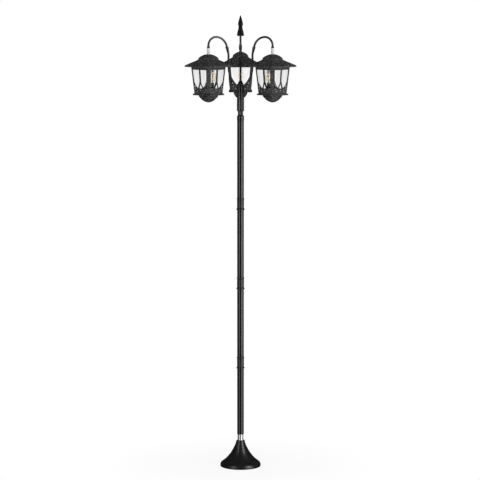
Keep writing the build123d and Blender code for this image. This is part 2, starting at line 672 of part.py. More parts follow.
# ---------------------------------------------------------------- lamps
def lamp_holder():
    flange = HOLDER_R * 1.92
    low, tall = FLOOR_TOP, HOLDER_HEIGHT
    seat = HOLDER_TOP - HOLDER_SEAT
    return turned([
        (0, low), (flange, low), (flange, low + tall * 0.05), (HOLDER_R * 1.23, low + tall * 0.08),
        (HOLDER_R, low + tall * 0.16), (HOLDER_R, HOLDER_TOP - tall * 0.04),
        (HOLDER_R * 0.91, HOLDER_TOP), (SHELL_R, HOLDER_TOP), (SHELL_R, seat), (0, seat),
    ])


def bulb_cap():
    """Screw shell of the lamp inside its holder, with a collar the glass stands on."""
    foot = HOLDER_TOP - HOLDER_SEAT
    top = HOLDER_TOP + BULB_WALL * 2
    return turned([(0, foot), (SHELL_R, foot), (SHELL_R, HOLDER_TOP), (BULB_R, HOLDER_TOP),
                   (BULB_R, top), (0, top)])


def bulb():
    """Slim clear tube with a round top."""
    low = HOLDER_TOP + BULB_WALL * 2
    crown = low + BULB_LENGTH - BULB_R
    points = [(SHELL_R, low), (BULB_R, low)]
    points += arc_points((0, crown), BULB_R, 0, 90, 8)
    points += arc_points((0, crown), SHELL_R, 90, 0, 8)
    return turned(points)


def filament():
    low = HOLDER_TOP + BULB_WALL * 2
    top = low + FILAMENT_LENGTH
    stem = FILAMENT_R * 1.5
    return turned([(0, low), (stem, low), (stem, low + stem * 2), (FILAMENT_R, low + stem * 3),
                   (FILAMENT_R, top - FILAMENT_R), (FILAMENT_R * 0.5, top), (0, top)])


# ---------------------------------------------------------------- build and save
save(bell(), "base_bell")
save(base_plate(), "base_plate")
save(base_coupling(), "base_coupling")

level = TUBE_FOOT
for number, length in enumerate(TUBE_LENGTHS, 1):
    save(post_tube(level, level + length), "post_tube_" + str(number))
    level += length
    if number < len(TUBE_LENGTHS):
        save(post_collar(level), "post_collar_" + str(number))
        level += COLLAR_HEIGHT
save(neck_collar(), "neck_collar")
save(arm_hub(), "arm_hub")
save(hub_cap(), "hub_cap")
save(finial_rod(), "finial_rod")
save(finial_spear(), "finial_spear")

hang_end = Pos(LANTERN_R, 0, 0)
ARM = {
    "arm_lower": lower_arm(),
    "arm_upper": upper_arm(),
    "ferrule": hang_end * ferrule(),
    "hanger": hang_end * hanger(),
}
LANTERN = {
    "dome_cap": dome_cap(),
    "roof": roof(),
    "cage": cage(),
    "glass": glass(),
    "floor": floor_plate(),
    "bowl": bowl(),
}
LAMP = {
    "lamp_holder": lamp_holder(),
    "bulb_cap": bulb_cap(),
    "bulb": bulb(),
    "filament": filament(),
}
nut = hang_end * hanger_nut()
nuts = []
for number, (angle, yaw) in enumerate(zip(arm_angles(), LANTERN_YAW), 1):
    tag = "_" + str(number)
    around = Rot(0, 0, angle)
    hang = around * Pos(LANTERN_R, 0, 0) * Rot(0, 0, yaw - angle)
    lamp = around * Pos(LANTERN_R - LAMP_OFFSET, 0, 0)
    for node, shape in ARM.items():
        save(around * shape, node + tag)
    for node, shape in LANTERN.items():
        save(hang * shape, node + tag)
    for node, shape in LAMP.items():
        save(lamp * shape, node + tag)
    nuts.append(around * nut)
save(Compound(children=nuts), "hanger_nuts")
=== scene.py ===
"""Looks of the triple head lamp post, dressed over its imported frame.

Shapes are worked out in millimetres from the frame's own sizes and written to the meshes in
metres. The post's axis is X = Y = 0, the front is -Y, and the lanterns hang on three arms.
"""
import bmesh
import bpy
from math import atan, cos, hypot, pi, radians, sin, sqrt, tan
from mathutils import Matrix, Vector


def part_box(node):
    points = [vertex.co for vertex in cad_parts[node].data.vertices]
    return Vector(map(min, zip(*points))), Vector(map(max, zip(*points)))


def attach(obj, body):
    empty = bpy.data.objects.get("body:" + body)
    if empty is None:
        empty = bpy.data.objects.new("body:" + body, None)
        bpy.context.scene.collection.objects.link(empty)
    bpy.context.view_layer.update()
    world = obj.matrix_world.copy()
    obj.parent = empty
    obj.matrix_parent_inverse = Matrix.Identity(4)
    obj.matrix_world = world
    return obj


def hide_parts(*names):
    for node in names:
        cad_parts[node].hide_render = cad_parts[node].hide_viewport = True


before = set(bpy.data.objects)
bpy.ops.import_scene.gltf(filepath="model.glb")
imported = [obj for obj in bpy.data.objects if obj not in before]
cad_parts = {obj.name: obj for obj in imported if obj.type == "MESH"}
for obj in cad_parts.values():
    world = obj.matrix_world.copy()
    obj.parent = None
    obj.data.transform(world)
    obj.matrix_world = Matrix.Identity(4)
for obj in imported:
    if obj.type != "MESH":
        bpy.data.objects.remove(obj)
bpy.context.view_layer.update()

MM = 0.001
POST = "post"
LANTERNS = (1, 2, 3)
SIDES = 96                    # round a turned piece
MERGE = 0.01                  # points closer than this are one
SHARP_TURN = 0.7              # an edge that turns by this angle, in radians, is fully sharp
BEVEL_FROM = 28               # edges that turn further than this, in degrees, are rounded
ARM_ANGLES = (-30, 90, 210)
LANTERN_YAW = (43, 0, 47)


def span(node):
    """Half width, foot and top of a node in millimetres."""
    low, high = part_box(node)
    return (high[0] - low[0]) / MM / 2, low[2] / MM, high[2] / MM


# -------------------- sizes from the frame
BELL_R, GROUND, BELL_TOP = span("base_bell")
BELL_WALL = 5
BELL_LIP = 17.5
BELL_TOP_R = 19.5
THROAT_R, THROAT_DEPTH = 11.3, 25       # bore down through the coupling and the bell's neck
COUPLING_R, _, COUPLING_TOP = span("base_coupling")
TUBE_R, TUBE_FOOT, _ = span("post_tube_1")
TUBE_BORE_R = COUPLING_R
COLLAR_R = span("post_collar_1")[0]
SPIGOT = COUPLING_TOP - TUBE_FOOT
NECK_R = span("neck_collar")[0]
NECK_FOOT = span("post_tube_4")[2]
HUB_FOOT, HUB_TOP = span("arm_hub")[1:]
HUB_SHOULDER = HUB_FOOT + 20.5
LOBE_R, LOBE_OFFSET = 9.2, 9.2
NECK_LOBE_R, NECK_LOBE_OFFSET = 7, 6.6
LOBE_BLEND = 14               # higher joins the lobes more sharply
CAP_R, _, CAP_TOP = span("hub_cap")
ROD_R = 4.4
ROD_TOP = span("finial_rod")[2]
SPEAR_R, SPEAR_FOOT, SPEAR_TOP = span("finial_spear")
BEAD_R = span("finial_rod")[0]
BEAD_SPREAD = 38
BEAD_CENTRE = SPEAR_FOOT - 58

ARM_R = 4.9
ARM_ROOT = (11, HUB_TOP - 7)
ARM_ROOT_SLOPE = radians(33)
ARM_RUN_R = 65
JOINT_R = 74
JOINT_LEAN = radians(14.5)
SLEEVE_LENGTH = 30
SLEEVE_R = 7.6
SLEEVE_SLANT = 0.27           # of its cut, as height over width
ARCH_TOP = span("arm_upper_2")[2] - ARM_R
ARCH_CROWN_R = 133
ARCH_BEND = 40
LANTERN_R = ARCH_CROWN_R + ARCH_BEND
FERRULE_R, FERRULE_FOOT, FERRULE_TOP = span("ferrule_2")
HANGER_R = span("hanger_2")[0] + 0.6    # a little wider than its solid
STUD_FOOT = span("hanger_2")[1]
STUD_R = 5

DOME_HALF, DOME_BASE, DOME_TOP = span("dome_cap_2")
DOME_REACH, BOWL_REACH = 1.28, 1.14     # of a rounded corner, as parts of the half width
SHARP_REACH = sqrt(2)
EAVE_HALF, EAVE_Z, _ = span("roof_2")
EAVE_LIP = 4.2
CAGE_TOP_HALF, FLOOR_TOP, _ = span("cage_2")
# pale pin heads on each side of the cage, whose pale colour is a painted highlight standing in for
# glints: across and up from the floor
GLINT_PIN_SPOTS = [(-34, 23), (-22, 11), (0, 17), (22, 11), (34, 23)]
PIN_R = 1.7
CAGE_BOTTOM_HALF = 50.4
CAGE_HEIGHT = EAVE_Z - FLOOR_TOP
CORNER_CUT = 9.9
CUT_GROWTH = 0.586            # of a cut corner for each step outward
PANEL_T = 3
POST_T = 6
STILE = 3
TOP_RAIL = 14.8
MULLION = 7
RIB, SLIT, SLIT_FOOT = 3.2, 7.6, 29
SLIT_MARGIN = 0.6             # between a slit and the corner post's stile
OUTER_BOW, INNER_BOW, ARCH_BOW = 0.1, 0.05, 0.055
FLOOR_HALF, FLOOR_FOOT, _ = span("floor_2")
FLOOR_CUT = 7
BOWL_HALF, BOWL_FOOT, _ = span("bowl_2")
BOWL_DEEPER, BOWL_T = 2.6, 2.2          # depth added to the solid's, and the wall
FLOOR_WIDER = 1               # added to the half width of the floor's solid
SHEET_T = 2.4
LAMP_OFFSET = 22
HOLDER_R = 6.5
HOLDER_FLANGE_R, _, HOLDER_TOP = span("lamp_holder_2")
BULB_R, BULB_FOOT, BULB_TOP = span("bulb_2")
BULB_MIDDLE = (BULB_FOOT + BULB_TOP) / 2
GLASS_SWELL, GLASS_WALL = 12.5, 0.6     # widest radius of the lamp glass, and its thickness
STICK_R, STICK_RING = 0.65, GLASS_SWELL * 0.7

LEAN = atan((CAGE_TOP_HALF - CAGE_BOTTOM_HALF) / CAGE_HEIGHT)


# -------------------- nodes
def put(tree, socket, value):
    """Links a socket to another one, or gives it a plain value."""
    if isinstance(value, bpy.types.NodeSocket):
        tree.links.new(value, socket)
    else:
        socket.default_value = value


def add(tree, kind, inputs=None, **settings):
    """A node with its settings, and with inputs given by name or number as values or sockets."""
    node = tree.nodes.new(kind)
    for key, value in settings.items():
        setattr(node, key, value)
    for key, value in (inputs or {}).items():
        put(tree, node.inputs[key], value)
    return node


def interface(tree, label, direction, kind="Float"):
    return tree.interface.new_socket(name=label, in_out=direction, socket_type="NodeSocket" + kind)


def ramp(tree, source, low, high):
    """A soft step of a value from 0 at low to 1 at high."""
    return add(tree, "ShaderNodeMapRange", {"Value": source, "From Min": low, "From Max": high},
               interpolation_type="SMOOTHSTEP").outputs["Result"]


def maths(tree, operation, first, second=0):
    return add(tree, "ShaderNodeMath", {0: first, 1: second}, operation=operation).outputs["Value"]


def mix_values(tree, factor, first, second):
    return add(tree, "ShaderNodeMix", {0: factor, 2: first, 3: second}, data_type="FLOAT").outputs[0]


def mix_colours(tree, factor, first, second):
    return add(tree, "ShaderNodeMix", {0: factor, 6: first, 7: second}, data_type="RGBA").outputs[2]


def axes(tree, vector):
    return add(tree, "ShaderNodeSeparateXYZ", {"Vector": vector}).outputs


def seen_directly(tree, path):
    """1 where the camera looks, straight or through glass."""
    return maths(tree, "MAXIMUM", path["Is Camera Ray"], path["Is Transmission Ray"])


def noise(tree, scale, detail, roughness=0.5, stretch=None):
    """Noise on object coordinates; scale is a number or a socket, stretch squeezes the axes."""
    spot = add(tree, "ShaderNodeTexCoord").outputs["Object"]
    if stretch:
        spot = add(tree, "ShaderNodeMapping", {"Vector": spot, "Scale": stretch}).outputs["Vector"]
    return add(tree, "ShaderNodeTexNoise", {
        "Vector": spot, "Scale": scale, "Detail": detail, "Roughness": roughness}).outputs["Fac"]


# -------------------- shader groups
def new_group(name, label, value, outputs):
    """A group with one number to set; gives its tree and that number's socket."""
    tree = bpy.data.node_groups.new(name, "ShaderNodeTree")
    interface(tree, label, "INPUT").default_value = value
    for output in outputs:
        interface(tree, output, "OUTPUT")
    return tree, add(tree, "NodeGroupInput").outputs[label]


def coat_grain_group():
    """Grain of a sprayed or powder coat: fine height, and sparse lighter specks."""
    tree, grains = new_group("coat grain", "Grains Per Metre", 900, ["Height", "Specks"])
    fine = maths(tree, "MULTIPLY", noise(tree, grains, 3, 0.6), 0.65)
    broad = maths(tree, "MULTIPLY", noise(tree, maths(tree, "MULTIPLY", grains, 0.21), 2), 0.35)
    specks = ramp(tree, noise(tree, maths(tree, "MULTIPLY", grains, 0.62), 1), 0.6, 0.74)
    add(tree, "NodeGroupOutput", {"Height": maths(tree, "ADD", fine, broad), "Specks": specks})
    return tree


def edge_rub_group():
    """Where handling has rubbed the raised edges."""
    tree, amount = new_group("edge rub", "Amount", 0.5, ["Mask"])
    edge = add(tree, "ShaderNodeAttribute", attribute_name="edge").outputs["Fac"]
    patches = ramp(tree, noise(tree, 55, 4, 0.65), 0.38, 0.68)
    worn = maths(tree, "MULTIPLY", ramp(tree, edge, 0.15, 0.9), patches)
    add(tree, "NodeGroupOutput", {"Mask": maths(tree, "MULTIPLY", worn, amount)})
    return tree


def settled_dust_group():
    """Thin dust on faces that look up."""
    tree, amount = new_group("settled dust", "Amount", 0.3, ["Mask"])
    normal = add(tree, "ShaderNodeNewGeometry").outputs["Normal"]
    cloudy = ramp(tree, noise(tree, 38, 5, 0.7), 0.35, 0.75)
    dust = maths(tree, "MULTIPLY", ramp(tree, axes(tree, normal)["Z"], 0.35, 0.95), cloudy)
    add(tree, "NodeGroupOutput", {"Mask": maths(tree, "MULTIPLY", dust, amount)})
    return tree


def turning_marks_group():
    """Fine rings that a lathe leaves round an upright metal piece."""
    tree, rings = new_group("turning marks", "Rings Per Metre", 2400, ["Height"])
    add(tree, "NodeGroupOutput", {"Height": noise(tree, rings, 2, 0.5, (0.004, 0.004, 1))})
    return tree


COAT_GRAIN = coat_grain_group()
EDGE_RUB = edge_rub_group()
SETTLED_DUST = settled_dust_group()
TURNING_MARKS = turning_marks_group()


# -------------------- materials
class Finish:
    """A Principled material, laid up layer by layer. A source is a socket, the arguments of noise(),
    or "height" for the height above the ground."""

    def __init__(self, name, colour, roughness, **sockets):
        self.name = name
        self.material = bpy.data.materials.new(name)
        self.material.use_nodes = True
        self.tree = self.material.node_tree
        self.inputs = self.tree.nodes["Principled BSDF"].inputs
        for key, value in dict(Base_Color=(*colour, 1), Roughness=roughness, **sockets).items():
            self.inputs[key.replace("_", " ")].default_value = value

    def field(self, source):
        if source == "height":
            return axes(self.tree, add(self.tree, "ShaderNodeTexCoord").outputs["Object"])["Z"]
        return noise(self.tree, *source) if isinstance(source, tuple) else source

    def group(self, tree, number, output):
        return add(self.tree, "ShaderNodeGroup", {0: number}, node_tree=tree).outputs[output]

    def blend(self, mask, colour):
        """Lays another colour over the present one where the mask is."""
        target = self.inputs["Base Color"]
        present = target.links[0].from_socket if target.is_linked else target.default_value[:]
        self.tree.links.new(mix_colours(self.tree, mask, present, (*colour, 1)), target)
        return self

    def patches(self, source, low, high, colour):
        return self.blend(ramp(self.tree, self.field(source), low, high), colour)

    def specks(self, per_metre, colour):
        return self.blend(self.group(COAT_GRAIN, per_metre, "Specks"), colour)

    def rub(self, amount, colour):
        return self.blend(self.group(EDGE_RUB, amount, "Mask"), colour)

    def dust(self, amount, colour):
        return self.blend(self.group(SETTLED_DUST, amount, "Mask"), colour)

    def glow(self, source, first, second):
        warm = mix_colours(self.tree, self.field(source), (*first, 1), (*second, 1))
        self.tree.links.new(warm, self.inputs["Emission Color"])
        return self

    def roughness(self, source, low, high):
        spread = add(self.tree, "ShaderNodeMapRange", {
            "Value": self.field(source), "To Min": low, "To Max": high})
        self.tree.links.new(spread.outputs["Result"], self.inputs["Roughness"])
        return self

    def bump(self, source, depth_mm, strength):
        """Raises the surface on top of earlier bumps."""
        target = self.inputs["Normal"]
        bump = add(self.tree, "ShaderNodeBump", {
            "Height": self.field(source), "Distance": depth_mm * MM, "Strength": strength})
        if target.is_linked:
            self.tree.links.new(target.links[0].from_socket, bump.inputs["Normal"])
        self.tree.links.new(bump.outputs["Normal"], target)
        return self

    def rings(self, per_metre, depth_mm, strength):
        return self.bump(self.group(TURNING_MARKS, per_metre, "Height"), depth_mm, strength)

    def grain(self, per_metre, depth_mm, strength):
        return self.bump(self.group(COAT_GRAIN, per_metre, "Height"), depth_mm, strength)

    def grain_roughness(self, per_metre, low, high):
        return self.roughness(self.group(COAT_GRAIN, per_metre, "Height"), low, high)


FINISHES = [
    # glossy black over a lightly pebbled casting
    Finish("cast_black", (0.008, 0.008, 0.0085), 0.3, Specular_IOR_Level=0.45)
    .rub(0.3, (0.045, 0.043, 0.04)).dust(0.05, (0.1, 0.095, 0.085))
    .grain_roughness(340, 0.2, 0.42).grain(340, 0.5, 0.5).bump((42, 2), 0.8, 0.25),
    # wet-looking black enamel on tube, with a trace of orange peel
    Finish("gloss_black", (0.009, 0.009, 0.0095), 0.17, Specular_IOR_Level=0.5)
    .rub(0.2, (0.05, 0.048, 0.045)).roughness((30, 5, 0.7), 0.13, 0.24)
    .bump((520, 2), 0.02, 0.06),
    # duller black of the turned couplers, with faint turning rings under the coat
    Finish("satin_black", (0.012, 0.012, 0.0125), 0.34, Specular_IOR_Level=0.42)
    .rub(0.35, (0.065, 0.062, 0.058)).roughness((70, 4), 0.26, 0.42).rings(900, 0.06, 0.4),
    # finely speckled charcoal powder coat of the lantern castings
    Finish("lantern_black", (0.007, 0.007, 0.0072), 0.66, Specular_IOR_Level=0.4)
    .patches((150, 3, 0.7), 0.42, 0.64, (0.066, 0.066, 0.067)).specks(300, (0.15, 0.15, 0.153))
    .rub(0.35, (0.11, 0.108, 0.104)).dust(0.06, (0.17, 0.165, 0.15))
    .grain_roughness(300, 0.54, 0.8).grain(300, 0.35, 0.6),
    # bright plated metal
    Finish("chrome", (0.56, 0.565, 0.57), 0.34, Metallic=0.85)
    .patches((60, 4), 0.45, 0.8, (0.42, 0.425, 0.43)).roughness((90, 4), 0.28, 0.42)
    .rings(1500, 0.03, 0.3),
    # pale satin metal of the hangers; on the pins this pale colour is a painted highlight standing in
    # for glints
    Finish("bright_sleeve", (0.74, 0.74, 0.73), 0.48, Metallic=0.25)
    .rub(0.5, (0.6, 0.6, 0.59)).roughness((160, 4), 0.4, 0.56).rings(1900, 0.05, 0.4),
    # primed steel of the hidden anchor plate
    Finish("plate_steel", (0.05, 0.05, 0.052), 0.55, Metallic=0.6)
    .patches((45, 6, 0.7), 0.5, 0.72, (0.1, 0.085, 0.07)).roughness((120, 4), 0.42, 0.7)
    .grain(500, 0.2, 0.4),
    # plated nuts with a mottled spangle
    Finish("zinc", (0.52, 0.53, 0.55), 0.34, Metallic=1)
    .patches((420, 2), 0.4, 0.62, (0.38, 0.39, 0.42)).roughness((300, 3), 0.26, 0.45),
    # clear pane, very slightly drawn in upright waves
    Finish("clear_pane", (0.985, 0.985, 0.985), 0.02, Transmission_Weight=1, IOR=1.45)
    .patches((46, 2, 0.5, (1, 1, 0.05)), 0.42, 0.66, (0.91, 0.91, 0.915))
    .bump((22, 1, 0.5, (1, 1, 0.06)), 0.8, 0.25).roughness((60, 5, 0.7), 0, 0.03),
    # lamp glass with a faint amber tint round the sticks, a painted glow from them, that fades towards
    # the tip
    Finish("bulb_glass", (1, 0.945, 0.85), 0.02, Transmission_Weight=1, IOR=1.45)
    .patches("height", BULB_MIDDLE * MM, BULB_MIDDLE * MM + 0.03, (0.9, 0.9, 0.88))
    .roughness((90, 3), 0, 0.06),
    # dark olive moulded lamp holder
    Finish("holder_plastic", (0.02, 0.021, 0.012), 0.42)
    .rub(0.4, (0.08, 0.08, 0.06)).roughness((140, 4), 0.34, 0.52).grain(1200, 0.08, 0.4),
    Finish("brass", (0.62, 0.46, 0.2), 0.28, Metallic=1)
    .patches((120, 5, 0.7), 0.45, 0.75, (0.4, 0.28, 0.13)).roughness((200, 3), 0.2, 0.42),
    # warm sticks of the lamp, brighter in patches
    Finish("filament", (0.8, 0.6, 0.36), 0.5, Emission_Strength=0.62)
    .glow((300, 2), (1, 0.72, 0.46), (1, 0.85, 0.66)),
]
FINISH = {finish.name: finish.material for finish in FINISHES}


# -------------------- mesh helpers
def new_object(name, data):
    piece = bpy.data.objects.new(name, data)
    bpy.context.scene.collection.objects.link(piece)
    return piece


def write_clean(work, mesh):
    """Merges close points, turns the faces outward and writes them to the mesh."""
    bmesh.ops.remove_doubles(work, verts=work.verts, dist=MERGE * MM)
    bmesh.ops.recalc_face_normals(work, faces=work.faces)
    work.to_mesh(mesh)
    work.free()


def solid(name, points, faces):
    """A mesh object from points in millimetres."""
    work = bmesh.new()
    verts = [work.verts.new(Vector(p) * MM) for p in points]
    for face in faces:
        corners = [verts[i] for i in face]
        if len(set(corners)) > 2:
            work.faces.new(corners)
    mesh = bpy.data.meshes.new(name)
    write_clean(work, mesh)
    return new_object(name, mesh)


def settle(piece):
    """Bakes the modifiers into a plain mesh."""
    graph = bpy.context.evaluated_depsgraph_get()
    graph.update()
    mesh = bpy.data.meshes.new_from_object(piece.evaluated_get(graph))
    mesh.name = piece.name
    if piece.type == "MESH":
        piece.modifiers.clear()
        piece.data = mesh
        return piece
    name = piece.name
    bpy.data.objects.remove(piece)
    return new_object(name, mesh)


def place(piece, matrix):
    piece.data.transform(matrix)
    piece.data.update()
    return piece


def join(name, pieces):
    """One object from several, kept as they are."""
    work = bmesh.new()
    for piece in pieces:
        work.from_mesh(piece.data)
        bpy.data.objects.remove(piece)
    mesh = bpy.data.meshes.new(name)
    work.to_mesh(mesh)
    work.free()
    return new_object(name, mesh)


def mark_edges(mesh):
    """Writes how sharply each point stands out, for the rubbed edges."""
    work = bmesh.new()
    work.from_mesh(mesh)
    values = []
    for vert in work.verts:
        turns = [e.calc_face_angle_signed(0) for e in vert.link_edges if len(e.link_faces) == 2]
        values.append(min(max(max(turns, default=0.0) / SHARP_TURN, 0.0), 1.0))
    work.free()
    layer = mesh.attributes.get("edge") or mesh.attributes.new("edge", "FLOAT", "POINT")
    layer.data.foreach_set("value", values)


def dress(piece, finish, body=POST, replaces=True, bevel_mm=0, crease=38):
    """Rounds, shades and colours a piece. It stands for the node of its own name, unless it only
    adds to the part."""
    nodes = [piece.name.split(".")[0]] if replaces else []
    piece.data.materials.clear()
    piece.data.materials.append(FINISH[finish])
    if bevel_mm:
        bevel = piece.modifiers.new("edges", "BEVEL")
        bevel.width = bevel_mm * MM
        bevel.segments = 2
        bevel.limit_method = "ANGLE"
        bevel.angle_limit = radians(BEVEL_FROM)
        bevel.use_clamp_overlap = True
        settle(piece)
    mesh = piece.data
    mesh.polygons.foreach_set("use_smooth", [True] * len(mesh.polygons))
    mesh.set_sharp_from_angle(angle=radians(crease))
    mark_edges(mesh)
    piece.modifiers.new("shading", "WEIGHTED_NORMAL").keep_sharp = True
    settle(piece)
    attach(piece, body)
    if nodes:
        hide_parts(*nodes)


def held(points, hold=0.9):
    """Adds points close to both ends of long runs, so that flats stay flat when smoothed."""
    out = []
    for here, after in zip(points, points[1:] + points[:1]):
        out.append(here)
        run = Vector(after) - Vector(here)
        on_axis = here[0] < 0.001 and after[0] < 0.001
        if run.length > 6 * hold and not on_axis:
            step = run.normalized() * hold
            out.append(tuple(Vector(here) + step))
            out.append(tuple(Vector(after) - step))
    return out


def rounded(corners, steps=3):
    """A closed profile from (radius, height) or (radius, height, rounding) corners."""
    out = []
    for i, corner in enumerate(corners):
        if len(corner) < 3:
            out.append(tuple(corner))
            continue
        here = Vector(corner[:2])
        back = Vector(corners[i - 1][:2]) - here
        ahead = Vector(corners[(i + 1) % len(corners)][:2]) - here
        reach = min(corner[2], back.length * 0.48, ahead.length * 0.48)
        start, end = here + back.normalized() * reach, here + ahead.normalized() * reach
        for step in range(steps + 1):
            u = step / steps
            out.append(tuple(start * (1 - u) ** 2 + here * 2 * u * (1 - u) + end * u * u))
    return held(out)


def spline(points, steps=5):
    """A smooth line through the points."""
    out = []
    ends = [points[0]] + list(points) + [points[-1]]
    for a, b, c, d in zip(ends, ends[1:], ends[2:], ends[3:]):
        a, b, c, d = Vector(a), Vector(b), Vector(c), Vector(d)
        for step in range(steps):
            t = step / steps
            out.append(tuple(0.5 * (2 * b + (c - a) * t + (2 * a - 5 * b + 4 * c - d) * t * t
                                    + (3 * b - a - 3 * c + d) * t ** 3)))
    return out + [tuple(points[-1])]


def arc(centre, radius, start, end, steps):
    """Points along an arc, in degrees from the +r direction."""
    turns = [radians(start + (end - start) * i / steps) for i in range(steps + 1)]
    return [(centre[0] + radius * cos(a), centre[1] + radius * sin(a)) for a in turns]


def beside(path, distance):
    """The path moved sideways to its left."""
    out = []
    for i, (x, z) in enumerate(path):
        before, after = path[max(i - 1, 0)], path[min(i + 1, len(path) - 1)]
        dx, dz = after[0] - before[0], after[1] - before[1]
        out.append((x - dz / hypot(dx, dz) * distance, z + dx / hypot(dx, dz) * distance))
    return out


def turned(name, profile, sides=SIDES):
    """A closed profile turned about Z. Points on the axis become poles."""
    points, rows = [], []
    for radius, height in profile:
        if radius < 0.001:
            rows.append([len(points)] * sides)
            points.append((0, 0, height))
            continue
        rows.append([len(points) + k for k in range(sides)])
        points += [(radius * cos(2 * pi * k / sides), radius * sin(2 * pi * k / sides), height)
                   for k in range(sides)]
    return solid(name, points, woven(rows, True))


def woven(rows, closed):
    """Faces between rows of point numbers; each row is a closed loop."""
    faces = []
    following = rows[1:] + rows[:1] if closed else rows[1:]
    for low, high in zip(rows, following):
        for k in range(len(low)):
            m = (k + 1) % len(low)
            quad = [low[k], low[m], high[m], high[k]]
            face = [p for i, p in enumerate(quad) if p != quad[i - 1]]
            if len(face) > 2:
                faces.append(face)
    return faces


def lofted(name, rings, closed=False):
    """Skins a list of rings. Open lofts get flat ends."""
    points, rows = [], []
    for ring in rings:
        rows.append([len(points) + k for k in range(len(ring))])
        points += ring
    faces = woven(rows, closed)
    if not closed:
        faces += [rows[0], rows[-1]]
    return solid(name, points, faces)


def at_radius(number, radius=LANTERN_R):
    """Matrix to a place at this distance from the post, turned to face outward along an arm."""
    turn = Matrix.Rotation(radians(ARM_ANGLES[number - 1]), 4, "Z")
    return turn @ Matrix.Translation((radius * MM, 0, 0))


def hang(number, piece, finish="lantern_black", **options):
    """Puts a piece into its lantern's own frame and dresses it."""
    angle = radians(ARM_ANGLES[number - 1])
    spot = Matrix.Translation((LANTERN_R * MM * cos(angle), LANTERN_R * MM * sin(angle), 0))
    turn = Matrix.Rotation(radians(LANTERN_YAW[number - 1]), 4, "Z")
    dress(place(piece, spot @ turn), finish, f"lantern_{number}", **options)


# -------------------- geometry node trees
def geometry_tree(name, **inputs):
    """A tree with these kinds of inputs; gives it and their sockets."""
    tree = bpy.data.node_groups.new(name, "GeometryNodeTree")
    for label, kind in dict(Geometry="Geometry", Material="Material", **inputs).items():
        interface(tree, label, "INPUT", kind)
    interface(tree, "Geometry", "OUTPUT", "Geometry")
    return tree, add(tree, "NodeGroupInput").outputs


def finish_tree(tree, shape, material):
    """Ends a tree with plain geometry in its material."""
    real = add(tree, "GeometryNodeRealizeInstances", {"Geometry": shape}).outputs["Geometry"]
    paint = add(tree, "GeometryNodeSetMaterial", {"Geometry": real, "Material": material})
    add(tree, "NodeGroupOutput", {"Geometry": paint.outputs["Geometry"]})
    return tree


def round_bar_tree():
    """A round bar along every curve it is given."""
    tree, given = geometry_tree("round bar", Radius="Float", Sides="Int")
    ring = add(tree, "GeometryNodeCurvePrimitiveCircle", {
        "Radius": given["Radius"], "Resolution": given["Sides"]})
    bar = add(tree, "GeometryNodeCurveToMesh", {
        "Curve": given["Geometry"], "Profile Curve": ring.outputs["Curve"], "Fill Caps": True})
    return finish_tree(tree, bar.outputs["Mesh"], given["Material"])


def stud_tree():
    """A low round stud on every point, facing the way the point faces."""
    tree, given = geometry_tree("round studs", Radius="Float", Rise="Float")
    dome = add(tree, "GeometryNodeMeshUVSphere", {"Segments": 12, "Rings": 6, "Radius": 1})
    facing = add(tree, "GeometryNodeInputNamedAttribute", {"Name": "facing"}, data_type="FLOAT_VECTOR")
    turn = add(tree, "FunctionNodeAlignRotationToVector", {
        "Vector": facing.outputs["Attribute"]}, axis="Z")
    size = add(tree, "ShaderNodeCombineXYZ", {
        "X": given["Radius"], "Y": given["Radius"], "Z": given["Rise"]})
    stand = add(tree, "GeometryNodeInstanceOnPoints", {
        "Points": given["Geometry"], "Instance": dome.outputs["Mesh"],
        "Rotation": turn.outputs["Rotation"], "Scale": size.outputs["Vector"]})
    return finish_tree(tree, stand.outputs["Instances"], given["Material"])


ROUND_BAR = round_bar_tree()
ROUND_STUDS = stud_tree()


def run_tree(piece, tree, **values):
    """Runs a tree on a piece with inputs given by name, and leaves a plain mesh."""
    modifier = piece.modifiers.new("shape", "NODES")
    modifier.node_group = tree
    for item in tree.interface.items_tree:
        if item.in_out == "INPUT" and item.name in values:
            modifier[item.identifier] = values[item.name]
    return settle(piece)


def straight_runs(name, dimensions, paths, closed=False):
    """A curve of straight runs through the points of each path, in metres."""
    curve = bpy.data.curves.new(name, "CURVE")
    curve.dimensions = dimensions
    for path in paths:
        line = curve.splines.new("POLY")
        line.points.add(len(path) - 1)
        line.use_cyclic_u = closed
        for point, spot in zip(line.points, path):
            point.co = (*spot, 1)
    return curve


def bars(name, paths, radius, sides, finish):
    """Round bars along paths of points in millimetres."""
    runs = [[Vector(spot) * MM for spot in path] for path in paths]
    piece = new_object(name, straight_runs(name, "3D", runs))
    return run_tree(piece, ROUND_BAR, Radius=radius * MM, Sides=sides, Material=FINISH[finish])


def studs(name, spots, radius, rise, finish):
    """Low studs at (place, facing) pairs, in millimetres."""
    mesh = bpy.data.meshes.new(name)
    mesh.from_pydata([Vector(p) * MM for p, facing in spots], [], [])
    layer = mesh.attributes.new("facing", "FLOAT_VECTOR", "POINT")
    for item, (p, facing) in zip(layer.data, spots):
        item.vector = facing
    piece = new_object(name, mesh)
    return run_tree(piece, ROUND_STUDS, Radius=radius * MM, Rise=rise * MM, Material=FINISH[finish])


# -------------------- base
# the flare from the top of the bell (0, 1) to its rim (1, 0)
BELL_FLARE = [(0, 1), (0.07, 0.828), (0.188, 0.656), (0.347, 0.46), (0.542, 0.284),
              (0.736, 0.144), (0.91, 0.051), (1, 0)]


def fitted(shape, x0, x1, z0, z1):
    return [(x0 + (x1 - x0) * u, z0 + (z1 - z0) * v) for u, v in shape]


